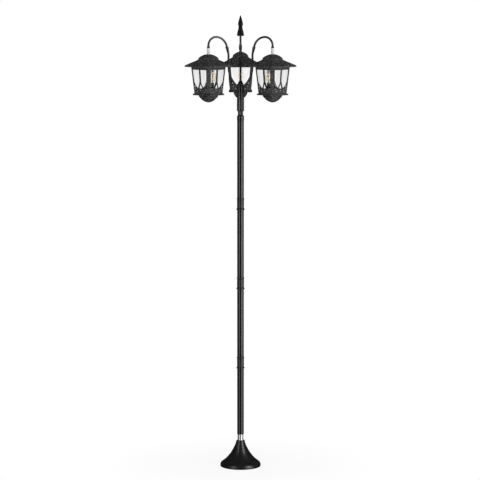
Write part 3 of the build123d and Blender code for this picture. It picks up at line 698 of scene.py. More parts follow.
def base_bell():
    flare = spline(fitted(BELL_FLARE, BELL_TOP_R, BELL_R - 3.7, BELL_LIP, BELL_TOP), 6)
    throat = BELL_TOP - THROAT_DEPTH
    inside = [p for p in beside(flare, -BELL_WALL) if p[1] < throat and p[0] > 16]
    profile = [(BELL_TOP_R - 1.2, BELL_TOP), (BELL_TOP_R - 0.2, BELL_TOP - 0.5)]
    profile += flare[1:]
    profile += rounded([(BELL_R - 2.2, BELL_LIP - 3.2), (BELL_R, BELL_LIP - 7.5, 3), (BELL_R, 6.2, 0.6),
                        (BELL_R - 1.3, 5.4, 0.4), (BELL_R - 1.3, 4.4, 0.4), (BELL_R, 3.6, 0.6),
                        (BELL_R, GROUND + 0.2, 1.6), (BELL_R - BELL_WALL, GROUND + 0.2, 0.6),
                        (BELL_R - BELL_WALL, BELL_LIP * 0.5)])[:-2]
    profile += inside[::-1]
    profile += [(15, throat), (THROAT_R, throat + 4), (THROAT_R, BELL_TOP)]
    dress(turned("base_bell", profile, 128), "cast_black")


def base_coupling():
    low, mid, top = BELL_TOP, (BELL_TOP + TUBE_FOOT) / 2, COUPLING_TOP
    r = COUPLING_R
    profile = rounded([
        (THROAT_R, low), (r, low, 0.9), (r, mid - 2.2, 0.5), (r - 1, mid - 1.2, 0.4),
        (r - 1, mid + 1.2, 0.4), (r, mid + 2.2, 0.5), (r, TUBE_FOOT - 2.6, 0.4),
        (r - 0.6, TUBE_FOOT - 2, 0.3), (r - 0.6, TUBE_FOOT - 0.4, 0.2), (r, TUBE_FOOT, 0.2),
        (r, top, 0.9), (THROAT_R, top)])
    dress(turned("base_coupling", profile), "chrome")


# -------------------- post
def post_tube(number):
    """A tube with a rolled lip and a fine groove at both ends."""
    node = f"post_tube_{number}"
    r, low, high = span(node)
    end = [(r, 0, 1.3), (r, 5.5, 0.5), (r - 0.5, 6.2, 0.4), (r - 0.5, 7, 0.4), (r, 7.7, 0.5)]
    profile = [(TUBE_BORE_R, low)] + [(x, low + z, c) for x, z, c in end]
    profile += [(x, high - z, c) for x, z, c in end[::-1]] + [(TUBE_BORE_R, high)]
    dress(turned(node, rounded(profile)), "gloss_black")


def post_collar(number):
    node = f"post_collar_{number}"
    _, foot, tip = span(node)
    low, high = foot + SPIGOT, tip - SPIGOT
    bore = TUBE_BORE_R - 3
    body, lower, upper = TUBE_R + 0.6, COLLAR_R, TUBE_R + 1.8
    profile = rounded([
        (bore, foot), (TUBE_BORE_R, foot, 1), (TUBE_BORE_R, low),
        (lower - 0.3, low, 1.6), (lower, low + 2.4, 0.8), (lower, low + 5, 0.8),
        (lower - 0.9, low + 7.4, 1),
        (body + 0.3, low + 8.4, 0.5), (body - 0.7, low + 9.4, 0.5), (body - 0.7, low + 10.6, 0.5),
        (body, low + 11.8, 0.6), (body, high - 10.2, 0.6), (body - 0.7, high - 9.2, 0.5),
        (body - 0.7, high - 7.8, 0.5), (upper - 0.5, high - 6.4, 0.6), (upper, high - 5.2, 0.8),
        (upper, high - 1.6, 0.8), (upper - 0.6, high, 0.8), (TUBE_BORE_R, high),
        (TUBE_BORE_R, tip, 1), (bore, tip)], 4)
    dress(turned(node, profile), "satin_black")


def neck_collar():
    rim, low, high = NECK_R, NECK_FOOT, HUB_FOOT
    profile = rounded([
        (0, low - SPIGOT), (TUBE_BORE_R, low - SPIGOT, 1), (TUBE_BORE_R, low),
        (rim, low, 1.4), (rim, low + 4.6, 0.8), (rim - 0.8, low + 5.6, 0.5),
        (rim - 0.8, low + 6.6, 0.5), (rim, low + 7.6, 0.8), (rim, high - 6.4, 2.2),
        (rim - 2.2, high - 1.6, 2), (rim - 5, high, 1.2), (3, high), (3, high + 12),
        (0, high + 12)], 5)
    dress(turned("neck_collar", profile), "gloss_black")


# -------------------- hub and finial
def lobed_ring(offset, radius, height, count=120):
    """A three-lobed ring: the outline of three round sockets side by side, softly joined."""
    ring = []
    for k in range(count):
        angle = 2 * pi * k / count
        reach = 0
        for lobe in ARM_ANGLES:
            turn = angle - radians(lobe)
            inside = radius ** 2 - (offset * sin(turn)) ** 2
            if inside > 0 and cos(turn) > 0:
                reach += (offset * cos(turn) + sqrt(inside)) ** LOBE_BLEND
        soft = max(reach, 1e-9) ** (1 / LOBE_BLEND)
        ring.append((soft * cos(angle), soft * sin(angle), height))
    return ring


def arm_hub():
    low, knee, high = HUB_FOOT, HUB_SHOULDER, HUB_TOP
    neck, body = (NECK_LOBE_OFFSET, NECK_LOBE_R), (LOBE_OFFSET, LOBE_R)
    # height, the lobes there, and what is added to their offset and radius
    stations = [
        (low, neck, 0, -0.8), (low + 0.5, neck, 0, -0.2), (low + 1.2, neck, 0, 0),
        (knee - 3.4, neck, 0, 0), (knee - 2.4, neck, 0.3, 0.1), (knee - 1.4, body, -0.4, -1),
        (knee - 0.5, body, 0, -0.5), (knee + 0.6, body, 0, -0.1), (knee + 1.8, body, 0, 0),
        (knee + 4, body, 0, 0), (high - 4, body, 0, 0), (high - 1.8, body, 0, 0),
        (high - 0.8, body, 0, -0.3), (high - 0.2, body, 0, -0.9), (high, body, 0, -1.6)]
    rings = [lobed_ring(lobes[0] + out, lobes[1] + wider, z) for z, lobes, out, wider in stations]
    dress(lofted("arm_hub", rings), "gloss_black")


def hub_cap():
    centre = (0, HUB_TOP + CAP_R * 0.77)
    profile = [(ROD_R + 0.1, HUB_TOP), (CAP_R * 0.7, HUB_TOP), (CAP_R * 0.76, HUB_TOP + 0.5)]
    profile += arc(centre, CAP_R, -38, 60, 16)
    profile += [(ROD_R + 0.5, CAP_TOP - 0.5), (ROD_R + 0.1, CAP_TOP)]
    dress(turned("hub_cap", profile, 64), "gloss_black")


def finial_rod():
    foot = HUB_TOP - 24
    low, high = BEAD_CENTRE - BEAD_R, BEAD_CENTRE + BEAD_R
    profile = rounded([(0, foot), (ROD_R, foot, 0.6), (ROD_R, low), (ROD_R + 0.8, low + 0.6, 0.4),
                       (ROD_R + 0.9, low + 1.9, 0.3)])
    profile += arc((0, BEAD_CENTRE), BEAD_R, -BEAD_SPREAD, BEAD_SPREAD, 12)
    profile += rounded([(ROD_R + 0.9, high - 1.9, 0.3), (ROD_R + 0.8, high - 0.6, 0.4), (ROD_R, high),
                        (ROD_R, ROD_TOP, 0.6), (0, ROD_TOP)])
    dress(turned("finial_rod", profile, 48), "gloss_black")


# rise and half width of each section of the spear, as parts of its height and of its radius
SPEAR_SHAPE = [
    (0, 0.84), (0.041, 1), (0.093, 0.926), (0.165, 0.895), (0.227, 0.802), (0.299, 0.667),
    (0.371, 0.58), (0.454, 0.537), (0.495, 0.568), (0.536, 0.691), (0.598, 0.679), (0.68, 0.593),
    (0.784, 0.444), (0.876, 0.284), (0.948, 0.16), (1, 0.037),
]
FACET_STEPS = (-20.8, -14, -7, 0, 7, 14, 20.8)


def faceted_ring(half, height, hollow=None):
    """An eight-sided ring with slightly hollow flats and a narrow land at each corner, or a round one
    with as many points if no hollow is given."""
    ring = []
    for side in range(8):
        for step in FACET_STEPS:
            reach = half
            if hollow:
                reach = half / cos(radians(step)) - hollow * half * cos(radians(step * 4.2))
            angle = radians(45 * side + step)
            ring.append((reach * cos(angle), reach * sin(angle), height))
    return ring


def finial_spear():
    tall = SPEAR_TOP - SPEAR_FOOT
    rings = [faceted_ring(radius, SPEAR_FOOT + rise)
             for radius, rise in ((ROD_R, 13), (8.8, 9), (11.2, 3), (11.9, 0.6))]
    for rise, width in spline(SPEAR_SHAPE, 3):
        hollow = 0.05 if rise < 0.5 else 0.02
        rings.append(faceted_ring(SPEAR_R * width, SPEAR_FOOT + tall * min(rise, 1), hollow))
    dress(lofted("finial_spear", rings), "gloss_black", crease=50)


# -------------------- arms
def arm_paths():
    """Centrelines of both halves of an arm as (radius, height), and the joint between them."""
    sweep = (ARM_RUN_R - ARM_ROOT[0]) / (1 - sin(ARM_ROOT_SLOPE))
    sweep_c = (ARM_RUN_R - sweep, ARM_ROOT[1] + sweep * cos(ARM_ROOT_SLOPE))
    bend = (ARCH_CROWN_R - JOINT_R) / cos(JOINT_LEAN)
    bend_c = (ARCH_CROWN_R, ARCH_TOP - bend)
    joint = (JOINT_R, bend_c[1] + bend * sin(JOINT_LEAN))
    foot = (joint[0] - SLEEVE_LENGTH * sin(JOINT_LEAN), joint[1] - SLEEVE_LENGTH * cos(JOINT_LEAN))
    ease = (foot[0] - ARM_RUN_R) / (1 - cos(JOINT_LEAN))
    ease_c = (ARM_RUN_R + ease, foot[1] - ease * sin(JOINT_LEAN))
    slope_deg, lean_deg = ARM_ROOT_SLOPE * 180 / pi, JOINT_LEAN * 180 / pi
    root = (ARM_ROOT[0] - 3 * cos(ARM_ROOT_SLOPE), ARM_ROOT[1] - 3 * sin(ARM_ROOT_SLOPE))
    lower = [root] + arc(sweep_c, sweep, slope_deg - 90, 0, 26)
    lower += arc(ease_c, ease, 180, 180 - lean_deg, 10) + [joint]
    upper = [(joint[0] - 12 * sin(JOINT_LEAN), joint[1] - 12 * cos(JOINT_LEAN))]
    upper += arc(bend_c, bend, 180 - lean_deg, 90, 30)
    upper += arc((ARCH_CROWN_R, ARCH_TOP - ARCH_BEND), ARCH_BEND, 90, 0, 26)[1:]
    upper += [(LANTERN_R, FERRULE_FOOT + 2)]
    return lower, upper, joint


LOWER_PATH, UPPER_PATH, JOINT = arm_paths()


def in_plane(path):
    return [(r, 0, z) for r, z in path]


def arm_sleeve():
    """Flared end of the lower arm, cut on a slant, with a rolled lip."""
    tall = SLEEVE_LENGTH
    profile = rounded([
        (ARM_R - 0.2, -tall), (ARM_R + 0.35, -tall, 0.3), (SLEEVE_R - 1.2, -tall * 0.45, 4),
        (SLEEVE_R - 0.25, -4.6, 0.4), (SLEEVE_R, -4, 0.3), (SLEEVE_R, -0.2, 0.6), (ARM_R + 0.9, 0, 0.5),
        (ARM_R - 0.2, -1.2)])
    piece = turned("sleeve", profile, 40)
    for vert in piece.data.vertices:
        if vert.co.z > -6 * MM:
            vert.co.z += SLEEVE_SLANT * (vert.co.x - SLEEVE_R * MM)
    lean = Matrix.Rotation(JOINT_LEAN, 4, "Y")
    return place(piece, Matrix.Translation((JOINT[0] * MM, 0, JOINT[1] * MM)) @ lean)


def arm_socket_bead():
    """Bead of filler where the arm leaves the hub."""
    bead = turned("socket_bead", arc((ARM_R + 0.5, 0), 1.5, 0, 330, 11), 32)
    slope = Matrix.Rotation(pi / 2 - ARM_ROOT_SLOPE, 4, "Y")
    reach = 7.4
    spot = ((ARM_ROOT[0] + reach * cos(ARM_ROOT_SLOPE)) * MM, 0,
            (ARM_ROOT[1] + reach * sin(ARM_ROOT_SLOPE)) * MM)
    return place(bead, Matrix.Translation(spot) @ slope)


def arm(number):
    turn = at_radius(number, 0)
    tube = bars("tube", [in_plane(LOWER_PATH)], ARM_R, 32, "gloss_black")
    lower = join(f"arm_lower_{number}", [tube, arm_sleeve(), arm_socket_bead()])
    dress(place(lower, turn), "gloss_black")
    upper = bars(f"arm_upper_{number}", [in_plane(UPPER_PATH)], ARM_R, 32, "gloss_black")
    dress(place(upper, turn), "gloss_black")


def ferrule(number):
    low, high, r = FERRULE_FOOT, FERRULE_TOP, FERRULE_R
    profile = rounded([
        (ARM_R - 1.4, low), (r, low, 0.9), (r, low + 2.4, 0.9), (r - 1.5, low + 3.4, 0.5),
        (r - 2.2, low + 5, 1), (ARM_R + 1.3, high - 2.8, 0.6), (ARM_R + 1.3, high - 0.8, 0.5),
        (ARM_R + 0.3, high, 0.4), (ARM_R - 0.2, high), (ARM_R - 0.2, low + 2),
        (ARM_R - 1.4, low + 1.8)])
    dress(place(turned(f"ferrule_{number}", profile, 48), at_radius(number)), "gloss_black")


def hanger(number):
    foot, top = DOME_TOP + 0.3, FERRULE_FOOT
    r, waist = HANGER_R, HANGER_R * 0.92
    step = foot + 12.4
    profile = rounded([
        (0, STUD_FOOT), (STUD_R, STUD_FOOT, 0.8), (STUD_R, foot),
        (waist, foot, 0.8), (waist, foot + 4.2, 0.4), (waist - 0.7, foot + 4.9, 0.3),
        (waist - 0.7, foot + 5.9, 0.3), (waist, foot + 6.6, 0.4), (waist, step - 0.6, 0.4),
        (r, step + 0.4, 0.5), (r, top, 0.9), (2.6, top), (2.6, top + 7.9, 0.5), (0, top + 7.9)])
    dress(place(turned(f"hanger_{number}", profile, 56), at_radius(number)), "bright_sleeve")


# -------------------- lantern shells
SIDE_STEPS = (0.05, 0.2, 0.5, 0.8, 0.95)
CORNER_STEPS = 5


def soft_square(half, corner, height):
    """A square ring with rounded corners."""
    corner = min(corner, half * 0.97)
    flat = half - corner
    side = arc((flat, flat), corner, 0, 90, CORNER_STEPS)
    start, end = Vector(side[-1]), Vector((-flat, half))
    side += [tuple(start.lerp(end, u)) for u in SIDE_STEPS]
    ring = []
    for _ in range(4):
        ring += side
        side = [(-y, x) for x, y in side]
    return [(x, y, height) for x, y in ring]


def corner_of(half, reach):
    """Corner radius of a square whose rounded corners reach this share of its half width."""
    return max(half * (SHARP_REACH - reach) / (SHARP_REACH - 1), 1.4)


def soft_rings(outline, foot_reach, top_reach, hold=1):
    """Rings of a four-sided shell whose corners change between foot and top; a higher hold keeps
    the foot's corners further up."""
    foot = min(z for half, z in outline)
    tall = max(z for half, z in outline) - foot
    rings = []
    for half, z in outline:
        reach = foot_reach + (top_reach - foot_reach) * ((z - foot) / tall) ** hold
        rings.append(soft_square(half, corner_of(half, reach), z))
    return rings


# unit outlines: the dome from its crown (0, 1) to its foot (1, 0), the skirt of the roof from the
# dome (0, 1) to the eave (1, 0), and the bowl from its rim (1, 1) to its lowest point (0, 0)
DOME_SHAPE = [(0.245, 1), (0.37, 0.935), (0.54, 0.8), (0.71, 0.63), (0.85, 0.44),
              (0.945, 0.26), (0.99, 0.12), (1, 0)]
SKIRT_SHAPE = [(0, 1), (0.033, 0.913), (0.113, 0.813), (0.236, 0.696), (0.473, 0.483),
               (0.757, 0.227), (0.924, 0.087), (0.99, 0)]
BOWL_SHAPE = [(1, 1), (1, 0.88), (1, 0.79), (0.935, 0.65), (0.85, 0.506), (0.755, 0.374),
              (0.64, 0.24), (0.435, 0.106), (0.25, 0.03), (0.1, 0.004), (0.04, 0)]


def lantern_dome(number):
    """Four-sided dome with well rounded corners and a small foot bead."""
    outer = spline(fitted(DOME_SHAPE, 0, DOME_HALF, DOME_BASE + 1.6, DOME_TOP), 4)
    inner = spline(fitted(DOME_SHAPE, 0, DOME_HALF - SHEET_T, DOME_BASE, DOME_TOP - SHEET_T), 2)
    bead = [(DOME_HALF + 0.5, DOME_BASE + 1), (DOME_HALF + 0.5, DOME_BASE + 0.4),
            (DOME_HALF, DOME_BASE)]
    bore = STUD_R + 0.35
    rings = [soft_square(bore, bore, DOME_TOP)]
    rings += soft_rings([(9.4, DOME_TOP)] + outer + bead, DOME_REACH, DOME_REACH)
    rings += soft_rings(inner[::-1], DOME_REACH, DOME_REACH)
    rings += [soft_square(bore, bore, DOME_TOP - SHEET_T)]
    hang(number, lofted(f"dome_cap_{number}", rings, closed=True))


def lantern_roof(number):
    """Flared skirt, thin rolled eave and a soffit with a drip groove."""
    lip = EAVE_Z + EAVE_LIP
    outer = spline(fitted(SKIRT_SHAPE, DOME_HALF, EAVE_HALF, lip, DOME_BASE), 4)
    inner = spline(fitted(SKIRT_SHAPE, DOME_HALF - SHEET_T, EAVE_HALF - 3 * SHEET_T, EAVE_Z + SHEET_T,
                          DOME_BASE - SHEET_T), 2)
    opening, soffit = DOME_HALF * 0.7, CAGE_TOP_HALF - PANEL_T - POST_T
    # rolled edge and drip groove, as distances in from the eave and up from its underside
    rolled = [(0, EAVE_LIP - 1), (0, -1.6), (0.5, -2.4), (1.7, -2.4), (2.1, -1.6), (2.4, 0), (5, 0),
              (5.5, 0.9), (7.5, 0.9), (8, 0)]
    edge = [(EAVE_HALF - inward, EAVE_Z + up) for inward, up in rolled]
    edge += [(soffit, EAVE_Z), (soffit, EAVE_Z + SHEET_T)]
    rings = soft_rings(outer + edge[:-1], SHARP_REACH, DOME_REACH, 4)
    rings += soft_rings(edge[-1:] + inner[::-1] + [(opening, DOME_BASE - SHEET_T)],
                        SHARP_REACH, DOME_REACH, 4)
    rings += [soft_square(opening, corner_of(opening, DOME_REACH), DOME_BASE)]
    hang(number, lofted(f"roof_{number}", rings, closed=True))


def lantern_bowl(number):
    """Hollow drop, square at its rim and round at its foot."""
    foot = BOWL_FOOT - BOWL_DEEPER
    outer = spline(fitted(BOWL_SHAPE, 0, BOWL_HALF, foot, FLOOR_FOOT), 4)
    inner = spline(fitted(BOWL_SHAPE, 0, BOWL_HALF - BOWL_T, foot + BOWL_T, FLOOR_FOOT), 2)
    rings = soft_rings([(1.2, foot)] + outer[::-1], BOWL_REACH, SHARP_REACH)
    rings += soft_rings(inner + [(1.2, foot + BOWL_T)], BOWL_REACH, SHARP_REACH)
    hang(number, lofted(f"bowl_{number}", rings))


def cut_ring(half, cut, height):
    """A square ring with cut corners."""
    flat = half - cut
    ring = [(half, -flat), (half, flat), (flat, half), (-flat, half)]
    ring += [(-x, -y) for x, y in ring]
    return [(x, y, height) for x, y in ring]


def lantern_floor(number):
    """Floor plate with a stepped, rounded edge."""
    low, high, half = FLOOR_FOOT, FLOOR_TOP, FLOOR_HALF + FLOOR_WIDER
    steps = [(half - 4.4, low), (half - 4, low - 0.9), (half - 1.6, low - 0.9), (half - 1.6, low + 1),
             (half, low + 1.9), (half, high - 1.2), (half - 1.3, high - 0.3), (half - 2.6, high)]
    rings = [cut_ring(reach, FLOOR_CUT - CUT_GROWTH * (half - reach), z) for reach, z in steps]
    hang(number, lofted(f"floor_{number}", rings), bevel_mm=0.4)


# -------------------- lantern cage
def cage_half(height):
    """Half width of the cage at a part of its height."""
    return CAGE_BOTTOM_HALF + (CAGE_TOP_HALF - CAGE_BOTTOM_HALF) * height


def stile(height):
    return cage_half(height) - CORNER_CUT - STILE


def on_face(points):
    """Points given as parts of a light's half width and of the cage's height, in millimetres."""
    return [(u * stile(v), CAGE_HEIGHT * v) for u, v in points]


def bowed(start, end, bulge, steps):
    """Points of a shallow curve; bulge is its rise to the left, per length."""
    dx, dz = end[0] - start[0], end[1] - start[1]
    out = []
    for i in range(steps + 1):
        t = i / steps
        lift = 4 * bulge * t * (1 - t)
        out.append((start[0] + dx * t - dz * lift, start[1] + dz * t + dx * lift))
    return out


def light_foot():
    """Both curves of a tall light's pointed lower end: post to tip, and tip to mullion."""
    on_post, tip = on_face([(1, 0.511), (0.43, 0.19)])
    outer = bowed(on_post, tip, OUTER_BOW, 20)
    return outer, bowed(tip, (MULLION / 2, CAGE_HEIGHT * 0.435), INNER_BOW, 14)


def mirrored(path, side):
    return [(side * x, z) for x, z in path]


def window(side):
    """Outline of a tall light."""
    head = CAGE_HEIGHT - TOP_RAIL
    outer, inner = light_foot()
    outline = [(MULLION / 2, head), (stile(head / CAGE_HEIGHT), head)] + outer + inner[1:]
    return mirrored(outline, side)


def slit_light(side):
    """Outline of the narrow light that follows the tall light's outer curve, a rib below it."""
    outer = light_foot()[0]
    upper, lower = [[(x, z) for x, z in beside(outer, away)
                     if x < stile(z / CAGE_HEIGHT) - SLIT_MARGIN and z > SLIT_FOOT]
                    for away in (RIB, RIB + SLIT)]
    return mirrored(upper + lower[::-1], side)


def arch_light():
    apex, foot = on_face([(0, 0.365), (0.24, 0.175)])
    right = bowed(apex, foot, ARCH_BOW, 10)
    return right + [(-x, z) for x, z in reversed(right) if x > 0]


def face_spot(x, z, out):
    """A point on the leaning front face: across, up and out from it."""
    return (x, -(CAGE_BOTTOM_HALF + z * tan(LEAN)) - out * cos(LEAN), FLOOR_TOP + z - out * sin(LEAN))


def pierced_panel():
    """One side of the cage, pierced by its lights, with rounded edges all round."""
    half_low, half_high = CAGE_BOTTOM_HALF - CORNER_CUT, CAGE_TOP_HALF - CORNER_CUT
    border = [(-half_low, 0), (half_low, 0), (half_high, CAGE_HEIGHT), (-half_high, CAGE_HEIGHT)]
    outlines = [border, window(1), window(-1), arch_light(), slit_light(1), slit_light(-1)]
    edge = 0.55
    flat = [[(x * MM, z * MM, 0) for x, z in outline] for outline in outlines]
    curve = straight_runs("panel", "2D", flat, closed=True)
    curve.fill_mode = "BOTH"
    curve.extrude = (PANEL_T / 2 - edge) * MM
    curve.bevel_depth = edge * MM
    curve.bevel_resolution = 1
    curve.offset = -edge * MM
    piece = settle(new_object("panel", curve))
    for vert in piece.data.vertices:
        x, z, depth = vert.co / MM
        vert.co = Vector(face_spot(x, z, depth - PANEL_T / 2)) * MM
    work = bmesh.new()
    work.from_mesh(piece.data)
    write_clean(work, piece.data)
    return piece


def corner_post():
    """A leaning corner post with a cut outer face and a half-round bead down it."""
    rings = []
    for part in (0, 1):
        half = cage_half(part)
        z = FLOOR_TOP + CAGE_HEIGHT * part
        flat, mid = half - CORNER_CUT, half - CORNER_CUT / 2
        rise, near = 1.06, CORNER_CUT * 0.28
        side = [(half, flat - STILE + 0.4), (half + 0.35, flat - STILE + 1.2), (half + 0.35, flat),
                (half - near + 0.2, flat + near + 0.2),
                (half - near * 1.25 + rise * 0.9, flat + near * 1.25 + rise * 0.9)]
        inner = [(half - PANEL_T, flat - STILE + 0.4), (half - POST_T * 1.1, flat - 0.6)]
        ring = side + [(mid + rise, mid + rise)] + [(y, x) for x, y in reversed(side)]
        ring += [(y, x) for x, y in inner] + inner[::-1]
        rings.append([(x, y, z) for x, y in ring])
    return lofted("post", rings)


def moulding(section):
    """A rail round the cage from (rise, height) points of its section."""
    rings = []
    for out, z in section:
        half, cut = cage_half(z / CAGE_HEIGHT) + out, CORNER_CUT + CUT_GROWTH * out
        rings.append(cut_ring(half, cut, FLOOR_TOP + z))
    return lofted("rail", rings, closed=True)


def around(name, masters):
    """One object with a copy of each master on all four sides."""
    copies = []
    for master in masters:
        for quarter in range(4):
            copy = new_object(master.name + str(quarter), master.data.copy())
            copies.append(place(copy, Matrix.Rotation(radians(90 * quarter), 4, "Z")))
        bpy.data.objects.remove(master)
    return join(name, copies)


# rise and height of each corner of the rails' sections, from the cage's foot and from its top
FOOT_RAIL = [(-0.4, 0), (1.5, 0), (2.1, 0.9), (2.1, 2.2), (1.3, 3.2), (0.9, 4.4), (-0.4, 4.6)]
HEAD_RAIL = [(-0.4, -8.6), (0.8, -8.2), (1.3, -7.2), (1, -6), (2.2, -3.6), (2.6, -1.6), (2.6, 0),
             (-0.4, 0)]


def lantern_cage(number):
    """Pierced sides, corner posts, raised ribs, rails, and pale pins whose colour is a painted
    highlight.
    """
    panel, post = pierced_panel(), corner_post()
    ribs = [mirrored(beside(curve, RIB / 2), side) for side in (1, -1) for curve in light_foot()]
    raised = [[face_spot(x, z, 0.1) for x, z in rib] for rib in ribs]
    ribbing = bars("ribs", raised, RIB * 0.4, 8, "lantern_black")
    outward = (0, -cos(LEAN), -sin(LEAN))
    # pale pins on each side: their colour paints glints, a painted highlight
    pins = studs("pins", [(face_spot(x, z, 0), outward) for x, z in GLINT_PIN_SPOTS], PIN_R, PIN_R * 0.7,
                 "bright_sleeve")
    hang(number, around(f"cage_pins_{number}", [pins]), "bright_sleeve", replaces=False)
    pieces = [around("sides", [panel, post, ribbing]), moulding(FOOT_RAIL),
              moulding([(out, CAGE_HEIGHT + z) for out, z in HEAD_RAIL])]
    hang(number, join(f"cage_{number}", pieces), crease=34)


# -------------------- lamps
def stand(number, piece, finish, **options):
    """Puts a piece of the lamp into its lantern and dresses it."""
    matrix = at_radius(number, LANTERN_R - LAMP_OFFSET)
    dress(place(piece, matrix), finish, f"lantern_{number}", **options)


def lamp_holder(number):
    low, r, top = FLOOR_TOP, HOLDER_R, HOLDER_TOP
    mouth = BULB_R - 0.8
    profile = rounded([
        (0, low), (HOLDER_FLANGE_R, low, 0.5), (HOLDER_FLANGE_R, low + 2.5, 0.7),
        (r + 1.6, low + 3.8, 0.8), (r, low + 8, 1.5), (r, low + 20, 0.3),
        (r + 0.5, low + 20.6, 0.3), (r + 0.5, low + 23, 0.3), (r, low + 23.6, 0.3),
        (r, top - 1.8, 0.7), (r - 0.8, top, 0.4), (mouth, top), (mouth, top - 22), (0, top - 22)])
    stand(number, turned(f"lamp_holder_{number}", profile, 40), "holder_plastic")


def lamp_glass(number):
    """Blown candle-shaped glass that swells above its neck, with a sealed tip."""
    low, high, r, wide = BULB_FOOT, BULB_TOP, BULB_R, GLASS_SWELL
    outer = spline([
        (r - 0.3, low), (r, low + 2), (r * 1.3, low + 5), (wide * 0.78, low + 11),
        (wide * 0.97, low + 19), (wide, low + 26), (wide * 0.93, high - 22),
        (wide * 0.7, high - 11), (wide * 0.38, high - 3.5), (wide * 0.15, high - 0.7),
        (0, high)], 4)
    inner = [(max(radius - GLASS_WALL, 0), min(z, high - GLASS_WALL)) for radius, z in outer]
    stand(number, turned(f"bulb_{number}", outer + inner[::-1], 40), "bulb_glass")


def lamp_filament(number):
    """Warm sticks round the grey stem that carries them."""
    low, high = BULB_FOOT + 5, BULB_FOOT + 33
    sticks = []
    for angle in (0, 120, 240):
        x, y = STICK_RING * cos(radians(angle)), STICK_RING * sin(radians(angle))
        sticks.append([(x * 0.25, y * 0.25, low), (x, y, low + 7), (x, y, high - 7),
                       (x * 0.4, y * 0.4, high)])
    stand(number, bars(f"filament_{number}", sticks, STICK_R, 10, "filament"), "filament")
    stem = rounded([
        (0, BULB_FOOT + 0.7), (3.2, BULB_FOOT + 0.7, 0.4), (2.3, low + 3, 1), (2.3, low + 16, 2),
        (4.9, low + 22, 3), (4.9, BULB_TOP - 12, 2), (2.6, BULB_TOP - 6, 1.5), (0, BULB_TOP - 6)], 4)
    stand(number, turned(f"lamp_stem_{number}", stem, 32), "chrome", replaces=False)


# -------------------- carried-over nodes
def repaint(node, finish):
    """Gives a frame node that is shown as it is its finished material."""
    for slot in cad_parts[node].material_slots:
        slot.material = FINISH[finish]


# -------------------- stage
IMAGE = 480
FOCAL_PX = 2250
CAMERA_AT = (0, -10.6175, 2.45124)
CAMERA_PITCH = radians(7.2768)
AXIS_SHIFT_PX = 0.5
SENSOR = 36
# the mirrored windows: direction and half width in degrees, level; and where they end
KEY_BAND = (53, 15, 3.7)
FILL_BAND = (-42, 10, 2.2)
WINDOW_ENDS = (0.8, 0.55)
ROOM_DIM = 0.03
ROOM_FILL = 0.62
AIM_HEIGHT = 1.25             # where the soft lights point, in metres
FLOOR_REACH = 30
FLOOR_FADE = (0.15, 0.75)     # where the shadow fades out, from the post's axis
FLOOR_GLOW = 0.86             # of the floor in the shadow, as part of the backdrop's


def photo_camera():
    data = bpy.data.cameras.new("camera")
    data.sensor_width = SENSOR
    data.lens = SENSOR * FOCAL_PX / IMAGE
    data.shift_x = -AXIS_SHIFT_PX / IMAGE
    data.clip_end = 100
    camera = new_object("camera", data)
    camera.location = CAMERA_AT
    camera.rotation_euler = (pi / 2 - CAMERA_PITCH, 0, 0)
    bpy.context.scene.camera = camera


def softbox(name, azimuth, distance, height, wide, tall, power):
    """A tall soft light; azimuth runs to the right of the camera's side, in degrees."""
    data = bpy.data.lights.new(name, "AREA")
    data.shape = "RECTANGLE"
    data.size, data.size_y = wide, tall
    data.energy = power
    lamp = new_object(name, data)
    angle = radians(azimuth)
    lamp.location = (distance * sin(angle), -distance * cos(angle), height)
    aim = Vector((0, 0, AIM_HEIGHT)) - lamp.location
    lamp.rotation_euler = aim.to_track_quat("-Z", "Y").to_euler()


def glow_band(tree, azimuth, centre, half_width, level):
    """A soft upright band of light in the mirrored room; its place and half width are in degrees."""
    offset = maths(tree, "ABSOLUTE", maths(tree, "SUBTRACT", azimuth, radians(centre)))
    band = ramp(tree, offset, radians(half_width * 1.35), radians(half_width * 0.65))
    return maths(tree, "MULTIPLY", band, level)


def white_room():
    """White backdrop, even fill all round, and a dim mirrored room with two tall windows."""
    world = bpy.data.worlds.new("room")
    bpy.context.scene.world = world
    world.use_nodes = True
    tree = world.node_tree
    path = add(tree, "ShaderNodeLightPath").outputs
    x, y, z = axes(tree, add(tree, "ShaderNodeTexCoord").outputs["Generated"])
    azimuth = maths(tree, "ARCTAN2", x, maths(tree, "MULTIPLY", y, -1))
    key, fill = glow_band(tree, azimuth, *KEY_BAND), glow_band(tree, azimuth, *FILL_BAND)
    bands = maths(tree, "ADD", key, fill)
    windows = maths(tree, "MULTIPLY", bands, ramp(tree, maths(tree, "ABSOLUTE", z), *WINDOW_ENDS))
    mirrored_room = maths(tree, "ADD", windows, ROOM_DIM)
    lit = mix_values(tree, path["Is Glossy Ray"], ROOM_FILL, mirrored_room)
    back = tree.nodes["Background"].inputs
    tree.links.new(mix_values(tree, seen_directly(tree, path), lit, 1), back["Color"])
    back["Strength"].default_value = 1


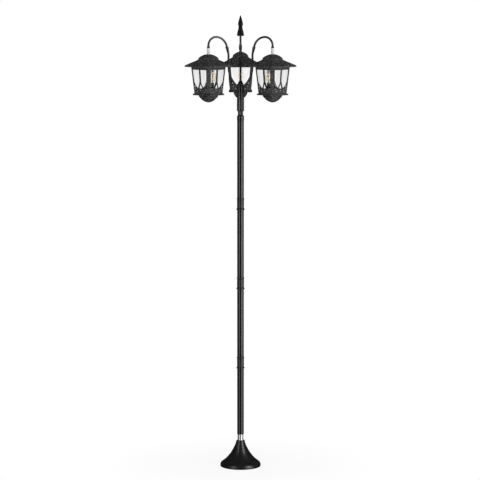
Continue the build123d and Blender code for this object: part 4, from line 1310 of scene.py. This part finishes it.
def pale_floor():
    """White floor that keeps a faint shadow round the base and fades into the backdrop."""
    reach = FLOOR_REACH
    mesh = bpy.data.meshes.new("floor_sheet")
    mesh.from_pydata([(-reach, -reach, 0), (reach, -reach, 0), (reach, reach, 0), (-reach, reach, 0)],
                     [], [(0, 1, 2, 3)])
    sheet = new_object("floor_sheet", mesh)
    material = bpy.data.materials.new("floor_paper")
    material.use_nodes = True
    tree = material.node_tree
    tree.nodes.clear()
    path = add(tree, "ShaderNodeLightPath").outputs
    paper = add(tree, "ShaderNodeBsdfDiffuse", {"Color": (0.93, 0.93, 0.93, 1)}).outputs[0]
    light = add(tree, "ShaderNodeEmission", {"Color": (1, 1, 1, 1), "Strength": 1}).outputs[0]
    spot = add(tree, "ShaderNodeTexCoord").outputs["Object"]
    distance = add(tree, "ShaderNodeVectorMath", {0: spot}, operation="LENGTH").outputs["Value"]
    glowing = mix_values(tree, ramp(tree, distance, *FLOOR_FADE), FLOOR_GLOW, 1)
    share = maths(tree, "MULTIPLY", seen_directly(tree, path), glowing)
    mix = add(tree, "ShaderNodeMixShader", {0: share, 1: paper, 2: light}).outputs[0]
    # the mirrored room goes on below the horizon
    clear = add(tree, "ShaderNodeBsdfTransparent").outputs[0]
    unmirrored = add(tree, "ShaderNodeMixShader", {0: path["Is Glossy Ray"], 1: mix, 2: clear})
    add(tree, "ShaderNodeOutputMaterial", {"Surface": unmirrored.outputs[0]})
    mesh.materials.append(material)


# -------------------- build
base_bell()
base_coupling()
for number in (1, 2, 3, 4):
    post_tube(number)
for number in (1, 2, 3):
    post_collar(number)
for make in (neck_collar, arm_hub, hub_cap, finial_rod, finial_spear):
    make()
for number in LANTERNS:
    for make in (arm, ferrule, hanger, lantern_dome, lantern_roof, lantern_cage, lantern_floor,
                 lantern_bowl, lamp_holder, lamp_glass, lamp_filament):
        make(number)
    repaint(f"glass_{number}", "clear_pane")
    repaint(f"bulb_cap_{number}", "brass")
repaint("base_plate", "plate_steel")
repaint("hanger_nuts", "zinc")

photo_camera()
softbox("key", azimuth=52, distance=2.6, height=1.35, wide=0.9, tall=2.6, power=26)
softbox("fill", azimuth=-41, distance=3, height=1.35, wide=0.55, tall=2.6, power=12)
white_room()
pale_floor()
bpy.context.scene.view_settings.view_transform = "Standard"
